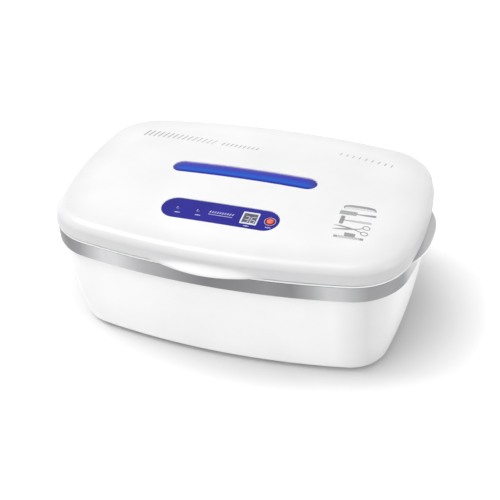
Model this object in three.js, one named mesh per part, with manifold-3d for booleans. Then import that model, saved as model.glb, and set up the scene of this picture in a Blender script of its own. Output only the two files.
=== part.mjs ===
// Ultraviolet sterilizer box: a tapered tub, a silver rim band, a domed hinged lid and a lift-out tool tray.
// Millimetres, +Z up. The origin is on the floor under the middle of the box, and the front lip faces -Y.
import * as THREE from "three";
import { mergeVertices } from "three/addons/utils/BufferGeometryUtils.js";
import Module from "manifold-3d";

const wasm = await Module();
wasm.setup();

// Driving dimensions of the whole box

const gap = 0.3; // clearance between pieces that seat on or in one another
const overrun = 2; // how far a cutting body passes the faces that it cuts
const plan = { halfLength: 176, halfWidth: 117.5, corner: 56, endBow: 5.3, sideBow: 10.8 };
const foot = { height: 3, radius: 9, stem: 2.5, fromEnd: 54, fromSide: 47.5 };
const tub = { toBand: 94.5, wall: 2.5, topInset: 4.5, taper: 12.6, fillet: 7 };
const band = { height: 15.8, wall: 2.3, topInset: 0.9, bottomInset: 1.1, sheet: 2, edge: 0.6 };
const ear = { reach: 8, halfSpan: 44, thickness: 2.2 };
const flange = { thickness: 1.8, inset: 0.6, edge: 0.9 };
const chamber = { throat: 11.5, taper: 8, wall: 2, depth: 87.4, fillet: 6, floorInset: 11.5 };
const lid = { lift: 1.2, wall: 2.5, skirt: 7.2, draft: 1.6, shoulder: 10.8, shoulderInset: 13.1, crown: 9.5 };
const lip = { reach: 7.5, halfSpan: 47, height: 6.5, edge: 1.8, drop: 0.9 };

// Levels that follow from the stack of pieces

const tubBottom = foot.height;
const bandBottom = tubBottom + tub.toBand;
const bandTop = bandBottom + band.height;
const flangeBottom = bandTop + gap;
const flangeTop = flangeBottom + flange.thickness;
const lidBottom = flangeTop + lid.lift;
const skirtTop = lidBottom + lid.skirt;
const shoulderTop = skirtTop + lid.shoulder;
const crownTop = shoulderTop + lid.crown;
const chamberFloor = flangeTop - chamber.depth;

// Sizes of the pieces in and on the lid

const liner = { thickness: 2, sheetGap: 0.6, seat: 0.6 };
const linerBottom = lidBottom + liner.seat;
const linerTop = linerBottom + liner.thickness;
const seal = { width: 3, fromWall: 0.9 };
const screw = { head: 3, headHeight: 1.6, shank: 1.4, reach: 8, bore: 1.75 };
const boss = { radius: 4, fromEnd: 38, fromSide: 47.5, frontInset: 20.5 };
const plateEdge = { flange: 3, flangeThickness: 1.2 };
const windowLens = { length: 144.1, width: 19.4, x: -2.4, y: 3, recess: 0.5, thickness: 3.4, ...plateEdge };
const panel = { length: 112.5, width: 27.9, x: -4.1, y: -62.6, recess: 0.4, thickness: 3.4, ...plateEdge };
const panelEnd = panel.length / 2;
const display = { fromEnd: 27.5, width: 15.8, height: 16.2, border: 1.4, depth: 3, proud: 0.3, sunk: 0.4 };
const displayX = panelEnd - display.fromEnd;
const displayHead = { depth: 2.2 };
const button = { fromEnd: 8.5, radius: 3.2, ring: 5.3, proud: 0.9, travel: 0.7, cap: 3.2 };
const buttonStem = { radius: 1.6, flange: 0.9 };
const buttonX = panelEnd - button.fromEnd;
const led = { fromEnd: [16.6, 36.2], radius: 1.4, proud: 0.25 };
const ledX = led.fromEnd.map((from) => from - panelEnd);
const board = { shorter: 7.5, width: 24, thickness: 1.6, depth: 9, post: 2, postIn: 4 };
const boardLength = panel.length - board.shorter;
const tact = { side: 6, height: 3.4, plunger: 1.7, plungerHeight: 1.6 };
const lamp = { radius: 8, endRoom: 32, aboveEdge: 7, wall: 0.2, cap: 11 };
const capPin = { radius: 1.2, length: 7, pitch: 6.4 };
const holder = { length: 11.6, halfWidth: 9, round: 8.4, base: 3 };
const opening = { halfWidth: 17 };
const reflector = { sheet: 0.8, top: 9, clear: 0.8, foot: 5, slotLength: 118, slotWidth: 11 };
const guard = { rail: 4.5, sheet: 1.5, bar: 1.8, drop: 3, bars: 9, rod: 1.8 };
const ballast = { length: 126, width: 34, height: 14, x: 30, fromSide: 55.5, edge: 2 };
const gland = { rise: 6.6, pad: 3.7, collar: 3.7, neck: 2.7, bush: 3, tip: 2.6, bore: 2.1, reach: 2.8 };
const nut = { radius: 4.2, height: 3 };
const hinge = { x: 50, behind: 3.5, drop: 0.2, radius: 4, middle: 12, outer: 8, arm: 3.4, reach: 12 };
const hingeRod = { radius: 1.5, bore: 1.8 };
const lead = { radius: 1.1, clear: 0.6 };

// Sizes of the pieces in the tub

const tray = { wall: 1.5, height: 25.7, clear: 1.7, lipWidth: 3.5, corner: 5, floorInset: 12.5 };
const trayPad = { height: 6, radius: 5 };
const slot = { length: 36, width: 6, pitchX: 50, pitchY: 18, columns: 5, rows: 7 };
const fingerBay = { depth: 12 }; // how far the middle of each end of the tray is drawn in
const baseScrew = { fromEnd: 88, fromSide: 50, recess: 3.5, reach: 14 };
const baseBoss = { radius: 6.2, height: 6, tubRadius: 5 };

const hingeY = plan.halfWidth + hinge.behind;
const hingeZ = flangeTop - hinge.drop;
const lampZ = lidBottom + lamp.aboveEdge;
const lampHalf = plan.halfLength - lamp.endRoom;
const glandZ = lidBottom + gland.rise;
const ballastY = plan.halfWidth - ballast.fromSide;

// Finishes

function finish(color, roughness, metalness = 0) {
  return new THREE.MeshStandardMaterial({ color, roughness, metalness });
}

const white = finish("#f4f4f4", 0.35);
const liningWhite = finish("#eceded", 0.5);
const silver = finish("#b4b5b8", 0.3, 0.6);
const violet = finish("#2f3fc8", 0.12);
const panelViolet = finish("#3b36a6", 0.2);
const displayWhite = finish("#e6e6f0", 0.4);
const displayGrey = finish("#5a5a62", 0.25);
const red = finish("#e8604e", 0.35);
const darkRed = finish("#8b1010", 0.35);
const ledClear = finish("#9ea2d8", 0.2);
const steel = finish("#b9bcc0", 0.3, 1);
const aluminium = finish("#d3d6d9", 0.2, 1);
const lampGlass = finish("#dfe6f5", 0.05);
const rubber = finish("#3c3c3e", 0.8);
const silicone = finish("#a9abae", 0.6);
const circuitGreen = finish("#2c6b45", 0.5);
const trayGrey = finish("#c9ccd0", 0.45);
const black = finish("#2a2a2c", 0.5);

// Solids: closed meshes in, closed meshes out

function solid(geometry) {
  const bare = geometry.clone();
  bare.deleteAttribute("normal");
  bare.deleteAttribute("uv");
  const merged = mergeVertices(bare, 1e-4);
  const vertProperties = new Float32Array(merged.attributes.position.array);
  const triVerts = new Uint32Array(merged.index.array);
  return new wasm.Manifold(new wasm.Mesh({ numProp: 3, vertProperties, triVerts }));
}

function geometryOf(made) {
  const mesh = made.getMesh();
  const geometry = new THREE.BufferGeometry();
  geometry.setAttribute("position", new THREE.Float32BufferAttribute(mesh.vertProperties, 3));
  geometry.setIndex(new THREE.Uint32BufferAttribute(mesh.triVerts, 1));
  return geometry;
}

const join = (solids) => solids.reduce((sum, next) => sum.add(next));

function addNode(parent, name, made, material) {
  const mesh = new THREE.Mesh(made.getMesh ? geometryOf(made) : made, material);
  mesh.name = name;
  parent.add(mesh);
}

// Plain bodies between two stated ends

function block(x, y, z) {
  const box = new THREE.BoxGeometry(x[1] - x[0], y[1] - y[0], z[1] - z[0]);
  return solid(box.translate((x[0] + x[1]) / 2, (y[0] + y[1]) / 2, (z[0] + z[1]) / 2));
}

// A turned body: pairs of radius and height, from the axis at one end to the axis at the other, about +Z.
function turned(profile, sides) {
  const points = profile.map(([radius, height]) => new THREE.Vector2(radius, height));
  return new THREE.LatheGeometry(points, sides).rotateX(Math.PI / 2);
}

function rodZ(radius, z, x = 0, y = 0, sides = 8) {
  const profile = [[0, z[0]], [radius, z[0]], [radius, z[1]], [0, z[1]]];
  return solid(turned(profile, sides).translate(x, y, 0));
}

function rodX(radius, x, y, z, sides = 12) {
  const profile = [[0, x[0]], [radius, x[0]], [radius, x[1]], [0, x[1]]];
  return solid(turned(profile, sides).rotateY(Math.PI / 2).translate(0, y, z));
}

function rodY(radius, y, x, z, sides = 12) {
  const profile = [[0, y[0]], [radius, y[0]], [radius, y[1]], [0, y[1]]];
  return solid(turned(profile, sides).rotateX(-Math.PI / 2).translate(x, 0, z));
}

// A flat bar with round ends along X, standing from z[0] to z[1].
function stadium(length, width, z, [x, y] = [0, 0], steps = 6) {
  const radius = width / 2;
  const half = length / 2 - radius;
  const shape = new THREE.Shape();
  shape.absarc(half, 0, radius, -Math.PI / 2, Math.PI / 2);
  shape.absarc(-half, 0, radius, Math.PI / 2, Math.PI * 1.5);
  const options = { depth: z[1] - z[0], bevelEnabled: false, curveSegments: steps };
  return solid(new THREE.ExtrudeGeometry(shape, options).translate(x, y, z[0]));
}

// A closed outline of [y, z] points carried along X.
function alongX(points, x) {
  const shape = new THREE.Shape(points.map(([y, z]) => new THREE.Vector2(y, z)));
  const extruded = new THREE.ExtrudeGeometry(shape, { depth: x[1] - x[0], bevelEnabled: false });
  return solid(extruded.rotateX(Math.PI / 2).rotateZ(Math.PI / 2).translate(x[0], 0, 0));
}

// Plan outline of the box. Two long sides and two short ends bow outwards on flat arcs, and four corner
// arcs run into both. Fine outlines are for what shows, plain ones for what the box hides.

const fine = { ear: 3, end: 1, corner: 5, side: 2, lip: 3 };
const plain = { ear: 1, end: 1, corner: 4, side: 1, lip: 1 };
const bayed = { ear: 5, end: 1, corner: 4, side: 1, lip: 1 };

function outline(inset, detail) {
  const a = plan.halfLength - inset;
  const b = plan.halfWidth - inset;
  const radius = plan.corner - inset;
  const sideRadius = ((a - radius) ** 2 + plan.sideBow ** 2) / (2 * plan.sideBow);
  const endRadius = ((b - radius) ** 2 + plan.endBow ** 2) / (2 * plan.endBow);
  // The corner's centre lies where arcs about the centres of the side and the end cross.
  const sideY = b - sideRadius;
  const endX = a - endRadius;
  const apart = Math.hypot(endX, sideY);
  const fromSide = ((sideRadius - radius) ** 2 - (endRadius - radius) ** 2 + apart ** 2) / (2 * apart);
  const across = Math.sqrt((sideRadius - radius) ** 2 - fromSide ** 2);
  const centreX = (endX * fromSide - sideY * across) / apart;
  const centreY = sideY + (-sideY * fromSide - endX * across) / apart;
  const endTurn = Math.atan2(centreY, centreX - endX);
  const sideTurn = Math.atan2(centreY - sideY, centreX);
  const sideStart = sideRadius * Math.cos(sideTurn);
  const quarter = [];
  const onEnd = (y) => [endX + Math.sqrt(endRadius ** 2 - y ** 2), y];
  const onSide = (x) => [x, sideY + Math.sqrt(sideRadius ** 2 - x ** 2)];
  const endStart = endRadius * Math.sin(endTurn);
  for (let k = 0; k < detail.ear; k++) quarter.push(onEnd((ear.halfSpan * k) / detail.ear));
  for (let k = 0; k < detail.end; k++)
    quarter.push(onEnd(ear.halfSpan + ((endStart - ear.halfSpan) * k) / detail.end));
  for (let k = 0; k < detail.corner; k++) {
    const turn = endTurn + ((sideTurn - endTurn) * k) / detail.corner;
    quarter.push([centreX + radius * Math.cos(turn), centreY + radius * Math.sin(turn)]);
  }
  for (let k = 0; k < detail.side; k++)
    quarter.push(onSide(sideStart + ((lip.halfSpan - sideStart) * k) / detail.side));
  for (let k = 0; k <= detail.lip; k++) quarter.push(onSide(lip.halfSpan * (1 - k / detail.lip)));
  const forth = quarter.slice(0, -1);
  const back = quarter.slice(1).reverse();
  return [
    ...forth,
    ...back.map(([x, y]) => [-x, y]),
    ...forth.map(([x, y]) => [-x, -y]),
    ...back.map(([x, y]) => [x, -y]),
  ];
}

// Shares of the full reach along the front lip and along an end ear, 1 at the middle and 0 at the tips.
const lipShare = (x) => Math.max(0, 1 - (x / lip.halfSpan) ** 2) ** 1.25;
const earShare = (y) => Math.max(0, 1 - Math.abs(y / ear.halfSpan) ** 3);

// One level of a moulded wall: the plan outline set in by inset, with as much lip and ear as stated.
function ring(inset, z, detail = fine, lipPart = 0, earPart = 0) {
  return outline(inset, detail).map(([x, y]) => {
    const out = y < 0 ? lipPart * lipShare(x) : 0;
    const side = Math.abs(x) > plan.halfLength - plan.corner ? earPart * earShare(y) : 0;
    return [x + Math.sign(x) * ear.reach * side, y - lip.reach * out, z - lip.drop * out * Math.abs(out)];
  });
}

const scaledRing = (points, share, z) => points.map(([x, y]) => [x * share, y * share, z]);

// A closed skin through rings of equal count. A cup ends in two centre points, at the stated heights,
// and a hoop joins its last ring to its first.
function loft(rings, tips) {
  const count = rings[0].length;
  const points = rings.flat();
  const faces = [];
  const bands = tips ? rings.length - 1 : rings.length;
  for (let j = 0; j < bands; j++) {
    const lower = j * count;
    const upper = ((j + 1) % rings.length) * count;
    for (let i = 0; i < count; i++) {
      const next = (i + 1) % count;
      faces.push(lower + i, lower + next, upper + next, lower + i, upper + next, upper + i);
    }
  }
  if (tips) {
    const first = points.length;
    points.push([0, 0, tips[0]], [0, 0, tips[1]]);
    const last = (rings.length - 1) * count;
    for (let i = 0; i < count; i++) {
      const next = (i + 1) % count;
      faces.push(first, next, i, first + 1, last + i, last + next);
    }
  }
  const geometry = new THREE.BufferGeometry();
  geometry.setAttribute("position", new THREE.Float32BufferAttribute(points.flat(), 3));
  geometry.setIndex(faces);
  return solid(geometry);
}

// A flat plate of the plan outline, and a hoop of it.
const plate = (inset, z, detail = plain) => loft([ring(inset, z[0], detail), ring(inset, z[1], detail)], z);

const hoop = (insets, z, detail = plain) =>
  loft([
    ring(insets[0], z[0], detail),
    ring(insets[0], z[1], detail),
    ring(insets[1], z[1], detail),
    ring(insets[1], z[0], detail),
  ]);

// Tub wall: upright under the band, drawn in more and more towards the floor.
const wallFoot = tubBottom + tub.fillet;
function wallInset(z) {
  const share = Math.min(1, (bandBottom - z) / (bandBottom - wallFoot));
  return tub.topInset + tub.taper * share ** 2;
}

function filletRings(inset, radius, z, turns, detail) {
  return turns.map((turn) => {
    const angle = (turn * Math.PI) / 180;
    return ring(inset + radius * (1 - Math.cos(angle)), z - radius * Math.sin(angle), detail);
  });
}

// The domed lid at a depth below its outer skin, listed from the bottom edge up.
function lidRings(depth, detail, shoulderTurns, crownShares) {
  const across = lid.shoulderInset - lid.draft - depth;
  const up = lid.shoulder - depth;
  const rings = [ring(depth, lidBottom, detail)];
  for (const turn of shoulderTurns) {
    const angle = (turn * Math.PI) / 180;
    rings.push(ring(lid.shoulderInset - across * Math.cos(angle), skirtTop + up * Math.sin(angle), detail));
  }
  const crownEdge = outline(lid.shoulderInset, detail);
  for (const share of crownShares)
    rings.push(scaledRing(crownEdge, share, shoulderTop - depth + lid.crown * (1 - share ** 2)));
  return rings;
}

const shoulderTurns = [0, 30, 60, 90];
const crownShares = [0.75, 0.4];

// Everything within the lid's skin lowered by depth, for cutting plates that follow the crown.
function lidBody(depth, detail = plain) {
  return loft(lidRings(depth, detail, shoulderTurns, crownShares), [lidBottom, crownTop - depth]);
}

const crownHalf = plan.halfWidth - lid.shoulderInset;
const crownZ = (y) => crownTop - lid.crown * (y / crownHalf) ** 2;

// Base

const filletTurns = [90, 55, 25, 0]; // degrees round the tub's lower edge, from its floor to its wall
const wallShares = [0.3, 0.62]; // levels between the floor's fillet and the band, as shares of that rise

function baseShell() {
  const rim = bandTop - band.sheet - gap;
  const inner = (z) => ring(wallInset(z) + tub.wall, z, fine);
  const outer = (z) => ring(wallInset(z), z, fine);
  const rise = bandBottom - wallFoot;
  const floor = tubBottom + tub.wall;
  const rings = [
    ...filletRings(tub.topInset + tub.taper, tub.fillet, wallFoot, filletTurns, fine),
    ...wallShares.map((share) => outer(wallFoot + rise * share)),
    outer(bandBottom),
    ring(tub.topInset, rim, fine),
    ring(tub.topInset + tub.wall, rim, fine),
    inner(wallFoot + rise * wallShares[1]),
    inner(wallFoot),
    ring(tub.topInset + tub.taper + tub.fillet, floor, fine),
  ];
  let shell = loft(rings, [tubBottom, floor]);
  for (const [x, y] of corners(baseScrew))
    shell = shell
      .add(rodZ(baseBoss.radius, [tubBottom, tubBottom + baseBoss.height], x, y))
      .subtract(rodZ(screw.head + gap * 2, [tubBottom - overrun, tubBottom + baseScrew.recess], x, y))
      .subtract(rodZ(screw.bore, [tubBottom, tubBottom + baseBoss.height + overrun], x, y));
  for (const [x, y] of corners(foot))
    shell = shell.subtract(rodZ(foot.stem + gap, [tubBottom - overrun, floor + overrun], x, y));
  return shell;
}

// The four places that lie a stated way in from the ends and from the sides.
function corners(piece) {
  const x = plan.halfLength - piece.fromEnd;
  const y = plan.halfWidth - piece.fromSide;
  return [[-x, -y], [x, -y], [-x, y], [x, y]];
}

// A rubber foot whose stem is pressed through the tub's floor.
function rubberFoot(x, y) {
  const { radius, stem } = foot;
  const seat = tubBottom - gap;
  const inside = tubBottom + tub.wall + gap;
  const rounding = foot.height / 4;
  const profile = [
    [0, 0],
    [radius - rounding, 0],
    [radius, rounding],
    [radius, seat],
    [stem, seat],
    [stem, inside],
    [stem / 2, inside + stem],
    [0, inside + stem],
  ];
  return turned(profile, 12).translate(x, y, 0);
}

// A pan-head screw whose head is below, standing up from z.
function screwGeometry(x, y, z, reach) {
  const { head, headHeight, shank } = screw;
  const tip = z + headHeight + reach;
  const profile = [
    [0, z],
    [head - headHeight / 4, z],
    [head, z + headHeight],
    [shank, z + headHeight],
    [shank, tip - shank],
    [0, tip],
  ];
  return turned(profile, 8).translate(x, y, 0);
}

const earEdgeShare = 0.94; // the ear's reach at its two rounded edges

function rimBand() {
  const inner = band.topInset + band.wall;
  const rings = [
    ring(tub.topInset - gap, bandBottom, fine),
    ring(band.bottomInset, bandBottom, fine),
    ring(band.topInset, bandTop - ear.thickness - band.edge, fine),
    ring(band.topInset, bandTop - ear.thickness, fine, 0, earEdgeShare),
    ring(band.topInset, bandTop - ear.thickness / 2, fine, 0, 1),
    ring(band.topInset, bandTop, fine, 0, earEdgeShare),
    ring(tub.topInset + tub.wall, bandTop, fine),
    ring(tub.topInset + tub.wall, bandTop - band.sheet, fine),
    ring(inner, bandTop - band.sheet, fine),
    ring(inner, bandBottom + band.sheet, fine),
    ring(tub.topInset - gap, bandBottom + band.sheet, fine),
  ];
  return loft(rings);
}

const chamberInset = (z) => chamber.throat + (chamber.taper * (flangeTop - z)) / chamber.depth;

function innerTub() {
  const filletTop = chamberFloor + chamber.fillet;
  const inner = chamberInset(filletTop);
  const floorInset = inner + chamber.floorInset;
  const { wall } = chamber;
  const rings = [
    ring(floorInset, chamberFloor - wall, fine),
    ring(inner + chamber.floorInset / 4, chamberFloor, fine),
    ring(inner - wall, filletTop, fine),
    ring(chamber.throat - wall, flangeBottom, fine),
    ring(flange.inset, flangeBottom, fine),
    ring(flange.inset, flangeTop, fine),
    ring(chamber.throat - flange.edge, flangeTop, fine),
    ring(chamber.throat, flangeTop - flange.edge, fine),
    ring(inner, filletTop, fine),
    ring(inner + chamber.floorInset / 3, chamberFloor + wall / 2, fine),
    ring(floorInset, chamberFloor, fine),
  ];
  let made = loft(rings, [chamberFloor - wall, chamberFloor]);
  const seat = tubBottom + baseBoss.height + gap;
  for (const [x, y] of corners(baseScrew))
    made = made
      .add(rodZ(baseBoss.tubRadius, [seat, chamberFloor - wall / 2], x, y))
      .subtract(rodZ(screw.bore, [seat - overrun, seat + baseScrew.reach], x, y, 8));
  for (const [x, y] of trayPads())
    made = made.add(rodZ(trayPad.radius, [chamberFloor - wall / 2, chamberFloor + trayPad.height], x, y));
  for (const side of [-1, 1]) made = made.add(baseKnuckle(side * hinge.x));
  for (const side of [-1, 1]) made = made.subtract(hingeBore(side * hinge.x));
  return made;
}

// Rear hinge: one knuckle on the tub's flange between two on the lid, on a loose steel pin

const hingeHalf = hinge.middle / 2 + gap + hinge.outer;

function baseKnuckle(x) {
  const ends = [x - hinge.middle / 2, x + hinge.middle / 2];
  const arm = [hingeY - hinge.reach, hingeY];
  return rodX(hinge.radius, ends, hingeY, hingeZ).add(block(ends, arm, [flangeBottom, flangeTop]));
}

function lidKnuckles(x) {
  const inner = hinge.middle / 2 + gap;
  const arm = [hingeY - hinge.reach, hingeY];
  const pieces = [-1, 1].map((side) => {
    const ends = [x + side * inner, x + side * hingeHalf].sort((p, q) => p - q);
    return rodX(hinge.radius, ends, hingeY, hingeZ).add(block(ends, arm, [lidBottom, lidBottom + hinge.arm]));
  });
  return join(pieces);
}

function hingeBore(x) {
  return rodX(hingeRod.bore, [x - hingeHalf - overrun, x + hingeHalf + overrun], hingeY, hingeZ, 8);
}

function hingePin(x) {
  const pin = hingeRod.radius;
  const chamfer = pin / 3;
  const half = hingeHalf;
  const profile = [
    [0, -half],
    [pin - chamfer, -half],
    [pin, chamfer - half],
    [pin, half - chamfer],
    [pin - chamfer, half],
    [0, half],
  ];
  return turned(profile, 8).rotateY(Math.PI / 2).translate(x, hingeY, hingeZ);
}

// Tool tray: a shallow dish on four pads, with a slotted floor and a bay in each end, where the fingers reach
// down and lift it by its rim

const trayFloor = chamberFloor + trayPad.height + gap;
const trayRim = trayFloor + tray.height;
const trayWallInset = (z) => chamberInset(z) + tray.clear;

// The pads bear on the webs between the slots.
function trayPads() {
  const x = ((slot.columns - 2) / 2) * slot.pitchX;
  const y = (slot.rows / 2) * slot.pitchY;
  return [[-x, 0], [x, 0], [0, -y], [0, y]];
}

function toolTray() {
  const rimInset = trayWallInset(trayRim);
  const footInset = trayWallInset(trayFloor);
  const { wall, corner, lipWidth } = tray;
  const floorInset = footInset + tray.floorInset;
  const level = (inset, z) => ring(inset, z, bayed, 0, -fingerBay.depth / ear.reach);
  const rings = [
    level(floorInset, trayFloor),
    level(footInset + lipWidth + corner / 2, trayFloor + wall / 2),
    level(footInset + lipWidth, trayFloor + corner),
    level(rimInset + lipWidth, trayRim - wall),
    level(rimInset, trayRim - wall),
    level(rimInset, trayRim),
    level(rimInset + lipWidth + wall, trayRim),
    level(footInset + lipWidth + wall, trayFloor + corner),
    level(footInset + lipWidth + wall + corner / 2, trayFloor + wall + wall / 4),
    level(floorInset, trayFloor + wall),
  ];
  const made = loft(rings, [trayFloor, trayFloor + wall]);
  const cuts = [];
  const through = [trayFloor - overrun, trayFloor + wall + overrun];
  for (let i = 0; i < slot.columns; i++)
    for (let j = 0; j < slot.rows; j++) {
      const x = (i - (slot.columns - 1) / 2) * slot.pitchX;
      const y = (j - (slot.rows - 1) / 2) * slot.pitchY;
      cuts.push(slotCut(x, y, through));
    }
  return made.subtract(join(cuts));
}

const noseShare = 0.8; // how far a slot's pointed end reaches, as a share of half its width

function slotCut(x, y, z) {
  const half = slot.length / 2;
  const side = slot.width / 2;
  const nose = side * noseShare;
  const shape = new THREE.Shape([
    new THREE.Vector2(-half, 0),
    new THREE.Vector2(nose - half, -side),
    new THREE.Vector2(half - nose, -side),
    new THREE.Vector2(half, 0),
    new THREE.Vector2(half - nose, side),
    new THREE.Vector2(nose - half, side),
  ]);
  const cut = new THREE.ExtrudeGeometry(shape, { depth: z[1] - z[0], bevelEnabled: false });
  return solid(cut.translate(x, y, z[0]));
}

// Lid

function lidScrewPlaces() {
  const front = plan.halfWidth - boss.frontInset;
  return [...corners(boss), [0, -front], [0, front]];
}

// The panel stands in its own frame, tipped to the slope of the crown.
const panelFrame = new THREE.Group();
panelFrame.position.set(panel.x, panel.y, crownZ(panel.y));
panelFrame.rotation.x = Math.atan((2 * lid.crown * -panel.y) / crownHalf ** 2);
panelFrame.updateMatrix();

const inPanelFrame = (made) => solid(geometryOf(made).applyMatrix4(panelFrame.matrix));

function capsuleHole(piece) {
  const { length, width, x, y } = piece;
  return stadium(length + gap * 2, width + gap * 2, [skirtTop, crownTop + overrun], [x, y]);
}

// Where the skirt flares into the lip: shares of the lid's draft, of the lip's height and of its reach.
const flareShares = [
  { draft: 0.25, height: 0.5, reach: 0.45 },
  { draft: 0.6, height: 0.75, reach: 0.14 },
];

function lidShell() {
  const outside = [
    ring(0, lidBottom, fine, 1),
    ring(0, lidBottom + lip.edge, fine, 1),
    ...flareShares.map((share) =>
      ring(lid.draft * share.draft, lidBottom + lip.height * share.height, fine, share.reach),
    ),
    ...lidRings(0, fine, shoulderTurns, crownShares).slice(1),
  ];
  const inside = lidRings(lid.wall, fine, [0, 45, 90], crownShares);
  const skin = loft([...inside.reverse(), ...outside], [crownTop - lid.wall, crownTop]);
  const within = lidBody(lid.wall / 2);
  const bossEnds = [linerTop + gap, crownTop];
  const bosses = lidScrewPlaces().map(([x, y]) => rodZ(boss.radius, bossEnds, x, y));
  const rear = plan.halfWidth - lid.wall - lid.draft;
  const pad = rodY(gland.pad, [rear - nut.height, plan.halfWidth - gap * 2], 0, glandZ);
  const knuckles = join([-1, 1].map((side) => lidKnuckles(side * hinge.x))).subtract(lidBody(lid.wall, fine));
  let made = skin.add(join(bosses).intersect(within)).add(pad).add(knuckles);
  for (const [x, y] of lidScrewPlaces())
    made = made.subtract(rodZ(screw.bore, [linerTop, linerTop + gap + screw.reach], x, y, 10));
  for (const side of [-1, 1]) made = made.subtract(hingeBore(side * hinge.x));
  made = made.subtract(rodY(gland.neck + gap, [rear - nut.height - overrun, hingeY], 0, glandZ));
  return made.subtract(capsuleHole(windowLens)).subtract(capsuleHole(panel));
}

// A capsule plate that follows the crown, with a flange that bears on the inside of the lid.
function capsulePlate(piece) {
  const tall = [skirtTop, crownTop + overrun];
  const { length, width, x, y, flange: rim } = piece;
  const under = Math.max(piece.thickness, lid.wall + gap + piece.flangeThickness);
  const body = stadium(length, width, tall, [x, y]).intersect(lidBody(piece.recess));
  const wide = stadium(length + rim * 2, width + rim * 2, tall, [x, y]);
  const skirt = wide.intersect(lidBody(lid.wall + gap));
  return body.add(skirt).subtract(lidBody(under));
}

// Control panel with its holes, and posts that hold the board

const boardTop = -board.depth;

function controlPanel() {
  const hole = display.width + gap * 2;
  const holeHeight = display.height + gap * 2;
  const through = [boardTop, overrun * 2];
  const cuts = [
    block([displayX - hole / 2, displayX + hole / 2], [-holeHeight / 2, holeHeight / 2], through),
    rodZ(button.ring + gap, through, buttonX, 0, 16),
    ...ledX.map((x) => rodZ(led.radius + gap, through, x, 0, 10)),
  ];
  const postEnds = [boardTop + gap, -lid.wall - gap * 2];
  const posts = boardPosts().map(([x, y]) => rodZ(board.post, postEnds, x, y, 10));
  const plateSolid = capsulePlate(panel).subtract(inPanelFrame(join(cuts)));
  return plateSolid.add(inPanelFrame(join(posts)));
}

function boardPosts() {
  const x = boardLength / 2 - board.postIn;
  const y = board.width / 2 - board.postIn;
  return [[-x, -y], [x, -y], [-x, y], [x, y]];
}

// Pieces in the panel's own frame: z is 0 on the crown and positive outwards

const panelFace = -panel.recess;

function displayFrame() {
  const { width, height, border, depth, proud } = display;
  const x = displayX;
  const outer = block([x - width / 2, x + width / 2], [-height / 2, height / 2], [-depth, panelFace + proud]);
  const wide = width / 2 - border;
  const tall = height / 2 - border;
  return outer.subtract(block([x - wide, x + wide], [-tall, tall], [-depth - overrun, overrun]));
}

// The display stands on the board; its narrower head fills the frame's opening.
function displayModule() {
  const { width, height, border, depth, sunk } = display;
  const x = displayX;
  const wide = width / 2 - border - gap;
  const tall = height / 2 - border - gap;
  const head = block([x - wide, x + wide], [-tall, tall], [-depth - displayHead.depth, panelFace - sunk]);
  const low = block(
    [x - width / 2, x + width / 2],
    [-height / 2, height / 2],
    [boardTop + gap, -depth - gap],
  );
  return head.add(low);
}

// The ring's lower rim turns in under the button's flange and keeps it from falling out.
function buttonRing() {
  const inner = button.radius + gap;
  const profile = [
    [inner, -lid.wall],
    [button.ring, -lid.wall],
    [button.ring, panelFace + display.proud],
    [button.ring - gap, panelFace + display.proud * 2],
    [inner, panelFace + display.proud * 2],
    [inner, -lid.wall],
  ];
  return turned(profile, 16).translate(buttonX, 0, 0);
}

const tactTop = boardTop + gap + tact.height;
const plungerTop = tactTop + tact.plungerHeight;

// Cap, flange and stem of the push button, down to the switch plunger.
function setButton() {
  const top = panelFace + button.proud;
  const { radius } = button;
  const { radius: stem, flange: rim } = buttonStem;
  const rounding = radius / 8;
  const bottom = top - button.cap;
  const profile = [
    [0, plungerTop + gap],
    [stem, plungerTop + gap],
    [stem, bottom - rim],
    [radius + rim, bottom - rim],
    [radius + rim, bottom],
    [radius, bottom],
    [radius, top - rounding],
    [radius - rounding, top],
    [0, top + rounding / 2],
  ];
  return turned(profile, 16).translate(buttonX, 0, 0);
}

function tactSwitch() {
  const half = tact.side / 2;
  const body = block([buttonX - half, buttonX + half], [-half, half], [boardTop + gap, tactTop]);
  const well = [tactTop - button.travel - gap * 3, tactTop + overrun];
  return body.subtract(rodZ(tact.plunger + gap, well, buttonX, 0, 14));
}

const switchPlunger = () => rodZ(tact.plunger, [tactTop - gap, plungerTop], buttonX, 0, 14);

const domeShare = 0.7; // radius at the shoulder of an indicator's dome

function indicator(x) {
  const { radius, proud } = led;
  const top = panelFace + proud;
  const profile = [
    [0, boardTop + gap],
    [radius, boardTop + gap],
    [radius, top - radius / 2],
    [radius * domeShare, top - radius / 6],
    [0, top],
  ];
  return turned(profile, 8).translate(x, 0, 0);
}

function controlBoard() {
  const halfLength = boardLength / 2;
  const halfWidth = board.width / 2;
  return block([-halfLength, halfLength], [-halfWidth, halfWidth], [boardTop - board.thickness, boardTop]);
}

// Lamp, sockets, reflector and guard

const linerInset = lid.wall + (lid.draft * (linerTop - lidBottom)) / lid.skirt + liner.sheetGap;

function lidLiner() {
  const half = lampHalf + gap;
  const mouth = [windowLens.y - opening.halfWidth, windowLens.y + opening.halfWidth];
  const z = [linerBottom, linerTop];
  let made = plate(linerInset, z);
  made = made.subtract(block([-half, half], mouth, [linerBottom - overrun, linerTop + overrun]));
  for (const [x, y] of lidScrewPlaces())
    made = made.subtract(rodZ(screw.bore, [linerBottom - overrun, linerTop + overrun], x, y, 10));
  return made;
}

function lidSeal() {
  const outer = lid.wall + seal.fromWall;
  return hoop([outer, outer + seal.width], [flangeTop + gap, linerBottom - gap], plain);
}

function lampTube() {
  const half = lampHalf - lamp.cap - gap;
  const radius = lamp.radius - lamp.wall;
  return rodX(radius, [-half, half], windowLens.y, lampZ, 16);
}

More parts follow.
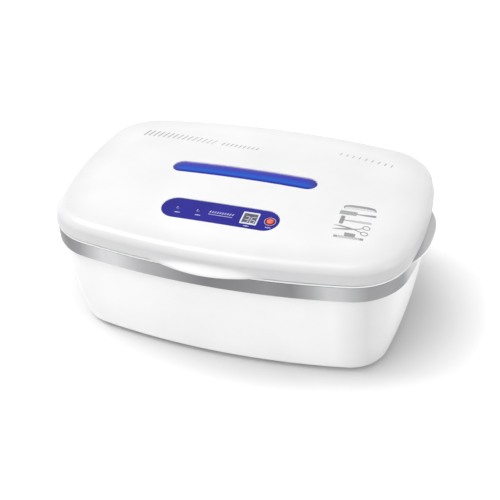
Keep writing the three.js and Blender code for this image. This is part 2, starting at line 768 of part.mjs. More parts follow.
function lampCap(side) {
  const ends = [lampHalf - lamp.cap, lampHalf];
  const pinEnds = [lampHalf - capPin.radius, lampHalf + capPin.length];
  const pins = [-1, 1].map((k) =>
    rodX(capPin.radius, pinEnds, windowLens.y + (k * capPin.pitch) / 2, lampZ, 6),
  );
  const made = rodX(lamp.radius, ends, windowLens.y, lampZ, 16).add(join(pins));
  return side > 0 ? made : mirrored(made);
}

// The same solid on the other side of the middle of the box.
function mirrored(made) {
  const geometry = geometryOf(made).toNonIndexed();
  const { array, itemSize } = geometry.attributes.position;
  const face = itemSize * itemSize;
  for (let k = 0; k < array.length; k += face) {
    for (let c = 0; c < face; c += itemSize) array[k + c] *= -1;
    const [one, other] = [array.slice(k, k + itemSize), array.slice(k + itemSize, k + 2 * itemSize)];
    array.set(other, k);
    array.set(one, k + itemSize);
  }
  return solid(mergeVertices(geometry, 1e-5));
}

// A G5 socket: a round-topped block on the liner, with a slot that takes both pins.
function lampHolder(side) {
  const x = [lampHalf + gap, lampHalf + gap + holder.length];
  const { halfWidth, round, base } = holder;
  const y = windowLens.y;
  const body = rodX(round, x, y, lampZ, 20).intersect(
    block(x, [y - round, y + round], [linerTop + gap, lampZ + round]),
  );
  const stepEnds = [linerTop + gap, lampZ - capPin.radius * 2];
  const step = block([x[0], x[1] + base], [y - halfWidth, y + halfWidth], stepEnds);
  const slotWidth = capPin.pitch / 2 + capPin.radius + gap;
  const pins = block(
    [x[0] - overrun, x[0] + capPin.length],
    [y - slotWidth, y + slotWidth],
    [lampZ - capPin.radius - gap, lampZ + capPin.radius + gap],
  );
  const made = body.add(step).subtract(pins);
  return side > 0 ? made : mirrored(made);
}

// Folded sheet: two feet on the liner, two slanted walls and a flat back over the lamp.
function lampReflector() {
  const { sheet, top, clear, foot: toe } = reflector;
  const y = windowLens.y;
  const low = linerTop + gap;
  const high = lampZ + lamp.radius + clear;
  const half = [
    [opening.halfWidth + toe, low],
    [opening.halfWidth + toe, low + sheet],
    [opening.halfWidth + sheet, low + sheet],
    [top + sheet / 2, high + sheet],
  ];
  const halfBack = [
    [top, high],
    [opening.halfWidth, low],
  ];
  const profile = [
    ...half.map(([u, z]) => [y + u, z]),
    ...half.map(([u, z]) => [y - u, z]).reverse(),
    ...halfBack.map(([u, z]) => [y - u, z]).reverse(),
    ...halfBack.map(([u, z]) => [y + u, z]),
  ];
  const made = alongX(profile, [gap - lampHalf, lampHalf - gap]);
  const through = [high - overrun, high + overrun];
  return made.subtract(stadium(reflector.slotLength, reflector.slotWidth, through, [0, y]));
}

// Grille under the lamp: two rails on the liner, cross bars that dip under the tube, and two rods.
function lampGuard() {
  const { rail, sheet, bar, drop, bars, rod } = guard;
  const y = windowLens.y;
  const high = linerBottom - gap;
  const low = lampZ - lamp.radius - gap * 2;
  const half = lampHalf + capPin.length;
  const wide = opening.halfWidth;
  const rails = [-1, 1].map((k) => {
    const ends = [y + k * wide, y + k * (wide + rail)].sort((p, q) => p - q);
    return block([-half, half], ends, [high - sheet, high]);
  });
  const profile = [
    [wide + sheet, high],
    [wide - sheet, high],
    [wide - drop * 2, low],
  ];
  const under = [
    [wide - drop * 2 + sheet / 2, low - bar],
    [wide + sheet, high - sheet],
  ];
  const across = [
    ...profile.map(([u, z]) => [y + u, z]),
    ...profile.map(([u, z]) => [y - u, z]).reverse(),
    ...under.map(([u, z]) => [y - u, z]).reverse(),
    ...under.map(([u, z]) => [y + u, z]),
  ];
  const hoops = [];
  for (let k = 0; k < bars; k++) {
    const x = -half + bar + ((2 * half - 2 * bar) * k) / (bars - 1);
    hoops.push(alongX(across, [x - bar / 2, x + bar / 2]));
  }
  const reach = half - bar;
  const rods = [-1, 1].map((k) => {
    const at = y + (k * wide) / 3;
    return block([-reach, reach], [at - rod / 2, at + rod / 2], [low - bar, low - bar / 4]);
  });
  return join([...rails, ...hoops, ...rods]);
}

function ballastCase() {
  const { length, width, height, x, edge } = ballast;
  const low = linerTop + gap;
  const shape = new THREE.Shape();
  const w = width / 2;
  const h = height;
  shape.moveTo(-w, 0);
  shape.lineTo(w, 0);
  shape.lineTo(w, h - edge);
  shape.lineTo(w - edge, h);
  shape.lineTo(edge - w, h);
  shape.lineTo(-w, h - edge);
  const outlinePoints = shape.getPoints().map((p) => [ballastY + p.x, low + p.y]);
  return alongX(outlinePoints, [x - length / 2, x + length / 2]);
}

// Cord gland at the rear of the lid, with its nut inside

function cordGland() {
  const face = plan.halfWidth - gap;
  const rear = plan.halfWidth - lid.wall - lid.draft - nut.height;
  const end = face + gland.reach;
  const { collar, neck, bush, tip, bore } = gland;
  const profile = [
    [bore, rear - nut.height],
    [neck, rear - nut.height],
    [neck, face],
    [collar, face],
    [collar, face + collar / 4],
    [bush, face + collar / 4],
    [tip, end],
    [bore, end],
    [bore, rear - nut.height],
  ];
  return turned(profile, 12).rotateX(-Math.PI / 2).translate(0, 0, glandZ);
}

const flatTurn = 30; // degrees that bring a flat of the hexagon to the top

function glandNut() {
  const seat = plan.halfWidth - lid.wall - lid.draft - nut.height - gap;
  const inner = gland.neck + gap;
  const ends = [seat - nut.height, seat];
  const bore = rodY(inner, [ends[0] - overrun, ends[1] + overrun], 0, 0);
  const hexagon = rodY(nut.radius, ends, 0, 0, 6).rotate([0, flatTurn, 0]);
  return hexagon.subtract(bore).translate([0, 0, glandZ]);
}

// Internal leads: round wires on smooth curves over the liner

function leadAlong(points) {
  const path = new THREE.CatmullRomCurve3(points.map(([x, y, z]) => new THREE.Vector3(x, y, z)));
  const section = new THREE.Shape();
  section.absarc(0, 0, lead.radius, 0, Math.PI * 2);
  const options = { steps: 9, curveSegments: 3, bevelEnabled: false, extrudePath: path };
  return solid(new THREE.ExtrudeGeometry(section, options));
}

function lampLead(side) {
  const z = linerTop + lead.radius + lead.clear;
  const startX = ballast.x + side * (ballast.length / 2 + lead.clear);
  const endX = side * (lampHalf + gap + holder.length - holder.base);
  const startY = ballastY - ballast.width / 4;
  const endY = windowLens.y + holder.halfWidth + lead.clear;
  return leadAlong([
    [startX, startY, z],
    [(startX + endX) / 2, startY, z],
    [endX - (side * ballast.width) / 4, (startY + endY) / 2, z],
    [endX, endY, z],
  ]);
}

// The panel's lead leaves the ballast at its rear corner and passes outside the left socket.
function panelLead() {
  const z = linerTop + lead.radius + lead.clear;
  const boardX = panel.x - boardLength / 2 - board.postIn;
  const startX = ballast.x - ballast.length / 2 - lead.clear;
  const startY = ballastY + ballast.width / 3;
  const past = -lampHalf - holder.length - holder.base * 3;
  return leadAlong([
    [startX, startY, z],
    [(startX + past) / 2, startY, z],
    [past, ballastY / 2, z],
    [past, windowLens.y, z],
    [past, panel.y / 2, z],
    [(past + boardX) / 2, panel.y, z],
    [boardX, panel.y, z],
  ]);
}

// Assembly

const root = new THREE.Group();
const base = new THREE.Group();
const lidGroup = new THREE.Group();
const trayGroup = new THREE.Group();
root.add(base, lidGroup, trayGroup);
lidGroup.add(panelFrame);

addNode(base, "base_shell", baseShell(), white);
addNode(base, "rim_band", rimBand(), silver);
addNode(base, "inner_tub", innerTub(), liningWhite);
["front_left", "front_right", "rear_left", "rear_right"].forEach((place, k) => {
  const [x, y] = corners(foot)[k];
  addNode(base, "foot_" + place, rubberFoot(x, y), rubber);
});
corners(baseScrew).forEach(([x, y], k) => {
  const z = tubBottom + baseScrew.recess - gap - screw.headHeight;
  addNode(base, "base_screw_" + (k + 1), screwGeometry(x, y, z, baseScrew.reach), steel);
});
addNode(base, "hinge_pin_left", hingePin(-hinge.x), steel);
addNode(base, "hinge_pin_right", hingePin(hinge.x), steel);

addNode(trayGroup, "tool_tray", toolTray(), trayGrey);

addNode(lidGroup, "lid_shell", lidShell(), white);
addNode(lidGroup, "lid_liner", lidLiner(), liningWhite);
addNode(lidGroup, "lid_seal", lidSeal(), silicone);
lidScrewPlaces().forEach(([x, y], k) => {
  const z = linerBottom - gap - screw.headHeight;
  addNode(lidGroup, "lid_screw_" + (k + 1), screwGeometry(x, y, z, screw.reach), steel);
});
addNode(lidGroup, "window_lens", capsulePlate(windowLens), violet);
addNode(lidGroup, "control_panel", controlPanel(), panelViolet);
addNode(lidGroup, "reflector", lampReflector(), aluminium);
addNode(lidGroup, "uv_lamp", lampTube(), lampGlass);
addNode(lidGroup, "lamp_cap_left", lampCap(-1), aluminium);
addNode(lidGroup, "lamp_cap_right", lampCap(1), aluminium);
addNode(lidGroup, "lamp_holder_left", lampHolder(-1), displayWhite);
addNode(lidGroup, "lamp_holder_right", lampHolder(1), displayWhite);
addNode(lidGroup, "lamp_guard", lampGuard(), steel);
addNode(lidGroup, "ballast", ballastCase(), black);
addNode(lidGroup, "cord_gland", cordGland(), black);
addNode(lidGroup, "gland_nut", glandNut(), black);
addNode(lidGroup, "lamp_lead_left", lampLead(-1), displayWhite);
addNode(lidGroup, "lamp_lead_right", lampLead(1), displayWhite);
addNode(lidGroup, "panel_lead", panelLead(), displayWhite);

addNode(panelFrame, "display_frame", displayFrame(), displayWhite);
addNode(panelFrame, "display_module", displayModule(), displayGrey);
addNode(panelFrame, "button_ring", buttonRing(), darkRed);
addNode(panelFrame, "set_button", setButton(), red);
addNode(panelFrame, "led_uv", indicator(ledX[0]), ledClear);
addNode(panelFrame, "led_power", indicator(ledX[1]), ledClear);
addNode(panelFrame, "control_board", controlBoard(), circuitGreen);
addNode(panelFrame, "tact_switch", tactSwitch(), black);
addNode(panelFrame, "switch_plunger", switchPlunger(), red);

export default root;
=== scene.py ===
# %% [markdown]
# # An ultraviolet sterilizer box
#
# The real thing is a countertop box of moulded ABS: a tapered white tub, a silver band round the rim, a domed
# lid with a long violet light window and a small control panel, and a slotted tray inside. The construction
# comes packed as a fixed frame of simple solids. This script keeps their places and gives every visible piece
# its fine surface and its finish.

# %% Load the frame
import bpy
import numpy as np
from functools import partial
from mathutils import Matrix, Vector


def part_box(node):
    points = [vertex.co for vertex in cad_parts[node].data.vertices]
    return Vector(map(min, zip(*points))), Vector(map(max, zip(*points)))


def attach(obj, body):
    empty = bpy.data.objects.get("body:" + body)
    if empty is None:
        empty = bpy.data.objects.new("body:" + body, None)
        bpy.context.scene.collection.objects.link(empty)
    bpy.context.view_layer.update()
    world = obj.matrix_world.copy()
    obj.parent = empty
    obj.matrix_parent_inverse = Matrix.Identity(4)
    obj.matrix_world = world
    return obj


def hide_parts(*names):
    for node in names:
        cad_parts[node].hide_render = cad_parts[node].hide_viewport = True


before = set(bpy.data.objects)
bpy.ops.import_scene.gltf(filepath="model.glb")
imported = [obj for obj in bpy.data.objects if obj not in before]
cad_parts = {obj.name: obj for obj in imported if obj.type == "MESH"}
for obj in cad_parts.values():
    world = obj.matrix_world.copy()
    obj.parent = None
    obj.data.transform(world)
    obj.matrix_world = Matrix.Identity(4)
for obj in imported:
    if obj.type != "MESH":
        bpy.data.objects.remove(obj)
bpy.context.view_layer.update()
MM = 0.001  # shapes are worked out in millimetres and written to Blender in metres


def box_mm(node):
    """Lowest and highest corner of a node of the frame, in millimetres."""
    low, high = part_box(node)
    return np.array(low) / MM, np.array(high) / MM


def added(name, data):
    """A new object in the scene, made of that data."""
    made = bpy.data.objects.new(name, data)
    bpy.context.scene.collection.objects.link(made)
    return made


def pose(made, axes, place):
    """Turns an object so that its own three axes lie along the given directions, and moves it to a place."""
    turn = np.eye(4)
    turn[:3] = np.column_stack([*axes, place])
    made.matrix_world = Matrix(turn.tolist())


# %% [markdown]
# ## Camera
#
# A product photo is read for its camera first. The box was seen from in front, a little from the right and
# from well above, with a lens longer than normal. The camera stands on a sphere round a point inside the
# box, so three angles and a distance say everything.

# %% Camera
AZIMUTH, ELEVATION, ROLL = np.radians([19.483, 36.002, -2.462])
DISTANCE = 1.017493
LOOK_AT = np.array([0.0, 0.0, 0.060])
FOCAL_IN_PIXELS, FRAME_IN_PIXELS, SENSOR = 1018.89, 500, 36.0
PRINCIPAL_POINT = (248.495, 246.536)

back = np.array([
    np.sin(AZIMUTH) * np.cos(ELEVATION),
    -np.cos(AZIMUTH) * np.cos(ELEVATION),
    np.sin(ELEVATION),
])
level = np.array([np.cos(AZIMUTH), np.sin(AZIMUTH), 0.0])
upright = np.cross(back, level)
right = np.cos(ROLL) * level + np.sin(ROLL) * upright
above = np.cos(ROLL) * upright - np.sin(ROLL) * level

lens = bpy.data.cameras.new("camera")
lens.sensor_width = SENSOR
lens.lens = FOCAL_IN_PIXELS / FRAME_IN_PIXELS * SENSOR
lens.shift_x = (FRAME_IN_PIXELS / 2 - PRINCIPAL_POINT[0]) / FRAME_IN_PIXELS
lens.shift_y = (PRINCIPAL_POINT[1] - FRAME_IN_PIXELS / 2) / FRAME_IN_PIXELS
camera = added("camera", lens)
pose(camera, (right, above, back), LOOK_AT + back * DISTANCE)
bpy.context.scene.camera = camera
bpy.context.scene.view_settings.view_transform = "Standard"
print("lens", round(lens.lens, 1), "mm, shift", round(lens.shift_x, 4), round(lens.shift_y, 4))

# %% [markdown]
# ## Shader helpers
#
# Colours are given as the hex codes that a paint program shows, and those are not linear light. One
# function turns them linear, and one function adds a node with its settings and its links. Every material
# starts from the same Principled shader with plain numbers in its sockets. Nothing moulded or painted is one
# even tone, so nearly every finish then drifts between two close tones over a fine grain.

# %% Colours and shader nodes
def linear(code):
    """Linear RGBA of an sRGB hex colour: each channel c becomes c/12.92 or ((c+0.055)/1.055)^2.4."""
    channels = np.array([int(code[k:k + 2], 16) / 255 for k in (1, 3, 5)])
    light = np.where(channels <= 0.04045, channels / 12.92, ((channels + 0.055) / 1.055) ** 2.4)
    return (*light.tolist(), 1.0)


def add(tree, kind, inputs=(), **settings):
    """One shader node. An input is a value for its socket, or another node's socket to link from."""
    node = tree.nodes.new("ShaderNode" + kind)
    for name, value in settings.items():
        setattr(node, name, value)
    for key, value in dict(inputs).items():
        if isinstance(value, bpy.types.NodeSocket):
            tree.links.new(value, node.inputs[key])
        else:
            node.inputs[key].default_value = value
    return node


def material(name, code, roughness, **sockets):
    """A material with one Principled shader of plain values, with its tree, shader and Object place."""
    made = bpy.data.materials.new(name)
    made.use_nodes = True
    tree = made.node_tree
    shader = tree.nodes["Principled BSDF"]
    shader.inputs["Base Color"].default_value = linear(code)
    shader.inputs["Roughness"].default_value = roughness
    for key, value in sockets.items():
        shader.inputs[key.replace("_", " ")].default_value = value
    place = add(tree, "TexCoord").outputs["Object"]
    return made, tree, shader, place


def grain(tree, shader, place, pitch_mm, depth_mm, rough):
    """A grain of that pitch and depth, under a roughness that drifts between two values."""
    fine = add(tree, "TexNoise", {"Vector": place, "Scale": 1 / (pitch_mm * MM), "Detail": 4.0})
    bump = add(tree, "Bump", {"Height": fine.outputs["Fac"], "Distance": depth_mm * MM, "Strength": 1.0})
    tree.links.new(bump.outputs["Normal"], shader.inputs["Normal"])
    broad = add(tree, "TexNoise", {"Vector": place, "Scale": 1 / (pitch_mm * 12 * MM), "Detail": 3.0})
    drift = add(tree, "MapRange", {"Value": broad.outputs["Fac"], "To Min": rough[0], "To Max": rough[1]})
    tree.links.new(drift.outputs["Result"], shader.inputs["Roughness"])


def tone_patches(name, codes, rough, patch_mm, pitch_mm, depth_mm, **sockets):
    """A finish that drifts between two tones in soft patches, over a grain of that pitch and depth."""
    made, tree, shader, place = material(name, codes[0], rough[0], **sockets)
    patches = add(tree, "TexNoise", {"Vector": place, "Scale": 1 / (patch_mm * MM), "Detail": 3.0})
    ramp = add(tree, "ValToRGB", {"Fac": patches.outputs["Fac"]})
    for stop, code, share in zip(ramp.color_ramp.elements, codes, (0.35, 0.65)):
        stop.color, stop.position = linear(code), share
    tree.links.new(ramp.outputs["Color"], shader.inputs["Base Color"])
    grain(tree, shader, place, pitch_mm, depth_mm, rough)
    return made


def emptied(data):
    """The node tree of a material or a world, switched on and cleared."""
    data.use_nodes = True
    data.node_tree.nodes.clear()
    return data.node_tree


print("helpers ready")

# %% [markdown]
# ## Light and floor
#
# The photo is a white studio cut-out: a broad light overhead, a softer one at the left front, and a floor
# that is white except where the box shades it. White paper can't be lit brighter than paper without burning
# the box. So the camera and the reflections see paper a little greyer than the paper that light bounces off,
# and away from the box it adds some white of its own, until it vanishes into the background. That glow starts
# on an oval round the box.

# %% Floor, lamps and world
FLOOR_HALF = 3.0
PAPER_BOUNCED, PAPER_SEEN = "#f8f8f8", "#e6e6e6"
PLAN_SHARE = (0.68, 1.0, 0.0)  # squeezes the length to the width, so the glow starts evenly round the box
GLOW_START, GLOW_FULL, GLOW_MOST = 0.108, 0.178, 0.38  # metres from the middle, and the white it adds
corners = np.array([[-1, -1, 0], [1, -1, 0], [1, 1, 0], [-1, 1, 0]]) * FLOOR_HALF
floor_mesh = bpy.data.meshes.new("floor")
floor_mesh.from_pydata(corners.tolist(), [], [(0, 1, 2, 3)])
added("floor", floor_mesh)

paper = bpy.data.materials.new("white_paper")
tree = emptied(paper)
ray = add(tree, "LightPath").outputs
seen = add(tree, "Math", {0: ray["Is Camera Ray"], 1: ray["Is Glossy Ray"]}, operation="MAXIMUM")
seen = add(tree, "Math", {0: seen.outputs[0], 1: ray["Is Transmission Ray"]}, operation="MAXIMUM")
oval = add(tree, "VectorMath", {0: add(tree, "TexCoord").outputs["Object"], 1: PLAN_SHARE},
           operation="MULTIPLY")
away = add(tree, "VectorMath", {0: oval.outputs["Vector"]}, operation="LENGTH").outputs["Value"]
share = add(tree, "MapRange", {"Value": away, "From Min": GLOW_START, "From Max": GLOW_FULL,
                               "To Max": GLOW_MOST}, interpolation_type="SMOOTHSTEP")
glow = add(tree, "Math", {0: seen.outputs[0], 1: share.outputs["Result"]}, operation="MULTIPLY")
tone = add(tree, "MixRGB", {"Fac": seen.outputs[0], "Color1": linear(PAPER_BOUNCED),
                            "Color2": linear(PAPER_SEEN)})
sheet = add(tree, "BsdfDiffuse", {"Color": tone.outputs["Color"]})
light = add(tree, "Emission", {"Color": linear("#ffffff"), "Strength": glow.outputs[0]})
both = add(tree, "AddShader", {0: sheet.outputs[0], 1: light.outputs[0]})
add(tree, "OutputMaterial", {"Surface": both.outputs[0]})
floor_mesh.materials.append(paper)

WALL_LIGHT, ROOF_LIGHT, ROOF_START = 1.5, 0.47, 0.45  # strengths low and overhead, and where the roof starts
world = bpy.data.worlds.new("studio")
tree = emptied(world)
ray = add(tree, "LightPath").outputs
up = add(tree, "SeparateXYZ", {"Vector": add(tree, "TexCoord").outputs["Generated"]}).outputs["Z"]
tent = add(tree, "MapRange", {"Value": up, "From Max": ROOF_START, "To Min": WALL_LIGHT,
                              "To Max": ROOF_LIGHT}, interpolation_type="SMOOTHSTEP")
fill = add(tree, "Background", {"Color": linear("#ffffff"), "Strength": tent.outputs["Result"]})
white = add(tree, "Background", {"Color": linear("#ffffff"), "Strength": 1.0})
mixed = add(tree, "MixShader", {0: ray["Is Camera Ray"], 1: fill.outputs[0], 2: white.outputs[0]})
add(tree, "OutputWorld", {"Surface": mixed.outputs[0]})
bpy.context.scene.world = world


def softbox(name, place, aim, size, watts):
    """A square area lamp at a place, turned to face a point."""
    lamp = bpy.data.lights.new(name, "AREA")
    lamp.size, lamp.energy = size, watts
    made = added(name, lamp)
    made.visible_camera = False
    away = np.array(place, float) - np.array(aim, float)
    away /= np.linalg.norm(away)
    side = np.cross([0.0, 1.0, 0.01], away)
    side /= np.linalg.norm(side)
    pose(made, (side, np.cross(away, side), away), place)


LAMP_REACH, LAMP_AIM = 3.2, (0, 0, 0.05)
# Name, bearing and height in degrees (bearing 0 is the front and 90 the right end), size and watts.
LAMPS = [("overhead", 335, 72, 1.8, 26.0), ("left_front", 283, 57, 1.4, 34.0),
         ("right_fill", 80, 12, 1.0, 13.0)]
for name, bearing, height, size, watts in LAMPS:
    bearing, height = np.radians([bearing, height])
    direction = [np.sin(bearing) * np.cos(height), -np.cos(bearing) * np.cos(height), np.sin(height)]
    softbox(name, np.array(direction) * LAMP_REACH, LAMP_AIM, size, watts)

# %% [markdown]
# ## The plan outline
#
# Seen from above, every moulded piece of the box has the same outline: two long sides and two short ends that
# bow outwards on flat arcs, with four corner arcs that run into both without a kink. An outline set in from
# the rim is the same figure with each arc's radius reduced, so one function of the inset draws them all. A
# wall is then a profile of inset and height, and its fillets and rolled edges are arcs in that profile.

# %% Plan outline and its rings
HALF_LENGTH, HALF_WIDTH, CORNER = 176.0, 117.5, 56.0
END_BOW, SIDE_BOW = 5.3, 10.8  # how far an end and a side rise over the chord between their corner arcs
STEPS = {"end": 26, "corner": 30, "side": 34}
LIP = {"half": 54.0, "reach": 7.5, "drop": 1.4, "power": 1.05}
EAR = {"half": 43.0, "reach": 8.1, "y": -11.0}
LID_BOTTOM = 116.6
QUARTER = np.pi / 2


def arc(centre, radius, start, stop, steps, endpoint=True):
    """(n, 2) points centre + radius x (cos, sin) between two angles. A pair of radii gives an ellipse."""
    t = np.linspace(start, stop, steps, endpoint=endpoint)
    return np.asarray(centre, float) + np.stack([np.cos(t), np.sin(t)], 1) * radius


def outline(inset):
    """Anticlockwise (n, 2) points. The end arc runs to the angle where it touches the corner arc, the corner
    arc to the angle where it touches the side arc, and the quarter is mirrored three times."""
    a, b, corner = HALF_LENGTH - inset, HALF_WIDTH - inset, CORNER - inset
    side = ((a - corner) ** 2 + SIDE_BOW ** 2) / (2 * SIDE_BOW)
    end = ((b - corner) ** 2 + END_BOW ** 2) / (2 * END_BOW)
    side_y, end_x = b - side, a - end
    apart = np.hypot(end_x, side_y)
    along = ((side - corner) ** 2 - (end - corner) ** 2 + apart ** 2) / (2 * apart)
    across = np.sqrt((side - corner) ** 2 - along ** 2)
    x = (end_x * along - side_y * across) / apart
    y = side_y - (side_y * along + end_x * across) / apart
    end_turn, side_turn = np.arctan2(y, x - end_x), np.arctan2(y - side_y, x)
    quarter = np.concatenate([arc((end_x, 0), end, 0, end_turn, STEPS["end"], False),
                              arc((x, y), corner, end_turn, side_turn, STEPS["corner"], False),
                              arc((0, side_y), side, side_turn, QUARTER, STEPS["side"])])
    forth, fro = quarter[:-1], quarter[:0:-1]
    return np.concatenate([forth, fro * [-1, 1], -forth, fro * [1, -1]])


def ring(inset, height, lip=0.0, ear=0.0, end=EAR):
    """One level of a wall. The lip pushes the front out by reach x (1 - (x/half)^2)^power, and an ear pushes
    each end out by reach x (1 - |(y - its middle)/half|^3)."""
    x, y = outline(inset).T
    out = np.where(y < 0, lip * np.clip(1 - (x / LIP["half"]) ** 2, 0, 1) ** LIP["power"], 0)
    far = np.abs(x) > HALF_LENGTH - CORNER
    side = np.where(far, ear * np.clip(1 - np.abs((y - end["y"]) / end["half"]) ** 3, 0, 1), 0)
    moved = [x + np.sign(x) * end["reach"] * side, y - LIP["reach"] * out, height - LIP["drop"] * out ** 2]
    return np.stack(np.broadcast_arrays(*moved), 1)


def levels(profile, draw=ring):
    """Rings of the wall at the insets and heights of a profile."""
    return [draw(*place) for place in profile]


def level_ring(shape, height):
    """An outline at one height, or at a height for each of its points."""
    return np.column_stack([shape, np.full(len(shape), height)])


print("outline has", len(outline(0)), "points and is", np.ptp(outline(0), axis=0).round(1), "mm")

# %% [markdown]
# ## From a grid of points to a closed skin
#
# A stack of rings is a grid, and a grid's faces can be numbered all at once as arrays. A skin closes either
# by running its last ring into its first, as a hoop does, or with a fan at a centre point, as a cup does.

# %% Skins, cuts and placing
SHARP = 35.0  # two faces that meet at more degrees than this make an edge


def keep(name, points, faces, finish):
    """Puts points in millimetres and their faces into a mesh, smooth up to the sharp angle."""
    mesh = bpy.data.meshes.new(name)
    mesh.from_pydata((np.asarray(points) * MM).tolist(), [], faces)
    mesh.polygons.foreach_set("use_smooth", np.ones(len(mesh.polygons), bool))
    mesh.set_sharp_from_angle(angle=np.radians(SHARP))
    if finish:
        mesh.materials.append(finish)
    return added(name, mesh)


def points_of(piece):
    """A piece's points in metres, as an (n, 3) array."""
    points = np.empty(len(piece.data.vertices) * 3)
    piece.data.vertices.foreach_get("co", points)
    return points.reshape(-1, 3)


def skin(name, rings, finish=None, tips=None):
    """A closed skin over rings of equal count, closed round each ring. With tips it ends in two fans, and
    without them the last ring joins the first."""
    rings = np.asarray(rings)
    count, around = rings.shape[:2]
    row = np.arange(count - 1 if tips is not None else count)[:, None]
    i = np.arange(around)
    low, high, after = row * around, (row + 1) % count * around, (i + 1) % around
    quads = np.stack([low + i, low + after, high + after, high + i], -1).reshape(-1, 4)
    points, faces = rings.reshape(-1, 3), quads.tolist()
    if tips is not None:
        first, last = len(points), (count - 1) * around
        points = np.concatenate([points, np.asarray(tips, float)])
        faces += np.stack([np.full(around, first), after, i], 1).tolist()
        faces += np.stack([np.full(around, first + 1), last + i, last + after], 1).tolist()
    return keep(name, points, faces, finish)


def cut(piece, *cutters, way="DIFFERENCE", sharp=SHARP):
    """Cuts solids out of a piece, or joins them to it, with exact Booleans, and removes the cutters."""
    for cutter in cutters:
        step = piece.modifiers.new("cut", "BOOLEAN")
        step.operation, step.solver, step.object = way, "EXACT", cutter
    graph = bpy.context.evaluated_depsgraph_get()
    made = bpy.data.meshes.new_from_object(piece.evaluated_get(graph))
    piece.modifiers.clear()
    piece.data = made
    for cutter in cutters:
        bpy.data.objects.remove(cutter)
    piece.data.set_sharp_from_angle(angle=np.radians(sharp))
    return piece


def dress(piece, body, slot, *nodes):
    """Names what a finished piece rides on and the nodes it stands for. Its slot in the record is not used.
    """
    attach(piece, body)
    if nodes:
        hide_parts(*nodes)
    return piece


def turned(name, profile, axis_point, finish=None, axis="z", sides=48):
    """A lathe: pairs of radius and height, in rings about an axis through a point. The profile starts and
    ends on the axis, where each ring is one tip, or runs back to its start."""
    profile = np.asarray(profile, float)
    t = np.linspace(0, 2 * np.pi, sides, endpoint=False)
    tipped = profile[0, 0] == 0
    body = profile[1:-1] if tipped else profile[:-1]
    around = np.stack([np.cos(t), np.sin(t), np.zeros(sides)], 1)
    rings = body[:, None, :1] * around + body[:, None, 1:] * [0, 0, 1]
    order = {"z": [0, 1, 2], "x": [2, 0, 1], "y": [1, 2, 0]}[axis]
    tips = np.array([[0, 0, profile[0, 1]], [0, 0, profile[-1, 1]]])[:, order] + axis_point
    return skin(name, rings[..., order] + axis_point, finish, tips if tipped else None)


def prism(name, shape, low, high):
    """An upright solid over an (n, 2) outline, for cutting."""
    middle = shape.mean(0)
    return skin(name, [level_ring(shape, z) for z in (low, high)], None, [[*middle, low], [*middle, high]])


def capsule(length, width, centre=(0.0, 0.0), steps=20):
    """A bar's outline with two half-circle ends, along X."""
    end = arc(((length - width) / 2, 0), width / 2, -QUARTER, QUARTER, steps)
    return centre + np.concatenate([end, -end])


def rounded(width, height, radius, centre=(0, 0)):
    """Anticlockwise outline of a rectangle with round corners."""
    turn = arc((width / 2 - radius, height / 2 - radius), radius, 0, QUARTER, 6)
    return centre + np.concatenate([turn, (turn * [-1, 1])[::-1], -turn, (turn * [1, -1])[::-1]])


def circle(centre, radius, steps=40):
    """Anticlockwise outline of a circle."""
    return arc(centre, radius, 0, 2 * np.pi, steps, False)


print("mesh helpers ready")

# %% [markdown]
# ## Moulded white ABS
#
# The tub and the lid are ABS, injection moulded in a polished tool and left bare. ABS is opaque, with an IOR
# near 1.54 and a soft gloss. The tool leaves a very shallow orange peel, a few millimetres from crest to
# crest, and the pigment is not perfectly even. The peel is drawn a little deeper than it is, so that it shows
# at all. Skirt and tub carry painted shade, soft greys along the box where the light runs out.

# %% White and lining plastics
def ramp_over(tree, value, low, high, tones):
    """A colour ramp over a range of lengths in millimetres, from a table of length and colour."""
    share = add(tree, "MapRange", {"Value": value, "From Min": low * MM, "From Max": high * MM})
    ramp = add(tree, "ValToRGB", {"Fac": share.outputs["Result"]})
    stops = ramp.color_ramp.elements
    while len(stops) < len(tones):
        stops.new(0.5)
    for stop, (place, code) in zip(stops, tones.items()):
        stop.position, stop.color = (place - low) / (high - low), linear(code)
    return ramp.outputs["Color"]


def toned(finish, tone_over):
    """The same plastic with its grey multiplied by a painted shade over the object's own coordinates."""
    tree = finish.node_tree
    shader, ramp = tree.nodes["Principled BSDF"], tree.nodes["Color Ramp"]
    place = tree.nodes["Texture Coordinate"].outputs["Object"]
    tone = tone_over(tree, add(tree, "SeparateXYZ", {"Vector": place}).outputs)
    final = add(tree, "MixRGB", {"Fac": 1.0, "Color1": ramp.outputs["Color"], "Color2": tone},
                blend_type="MULTIPLY")
    tree.links.new(final.outputs["Color"], shader.inputs["Base Color"])
    return finish


def skirt_painted_shade(tree, axes):
    """Painted shade where the skirt tucks in under the shoulder: a grey that runs out between two heights,
    and a paler painted shade on the thumb lip in front."""
    grey = ramp_over(tree, axes["X"], -176, 176, SKIRT_PAINTED_SHADE)
    fade = ramp_over(tree, axes["Z"], LID_BOTTOM, 137, SKIRT_SHADE_FADE)
    lip = {"Value": axes["Y"], "From Min": LIP_FROM * MM, "From Max": LIP_TO * MM}
    front = add(tree, "MapRange", lip).outputs["Result"]
    plain = add(tree, "Math", {0: fade, 1: front}, operation="MAXIMUM").outputs[0]
    paled = add(tree, "MixRGB", {"Fac": front, "Color1": linear("#ffffff"), "Color2": linear(LIP_PAINTED_SHADE)})
    shade = add(tree, "MixRGB", {"Fac": plain, "Color1": grey, "Color2": paled.outputs["Color"]})
    return shade.outputs["Color"]


def tub_painted_shade(tree, axes):
    """Painted shade: a soft grey that comes and goes round the right front corner of the tub."""
    return ramp_over(tree, axes["X"], -176, 176, TUB_PAINTED_SHADE)
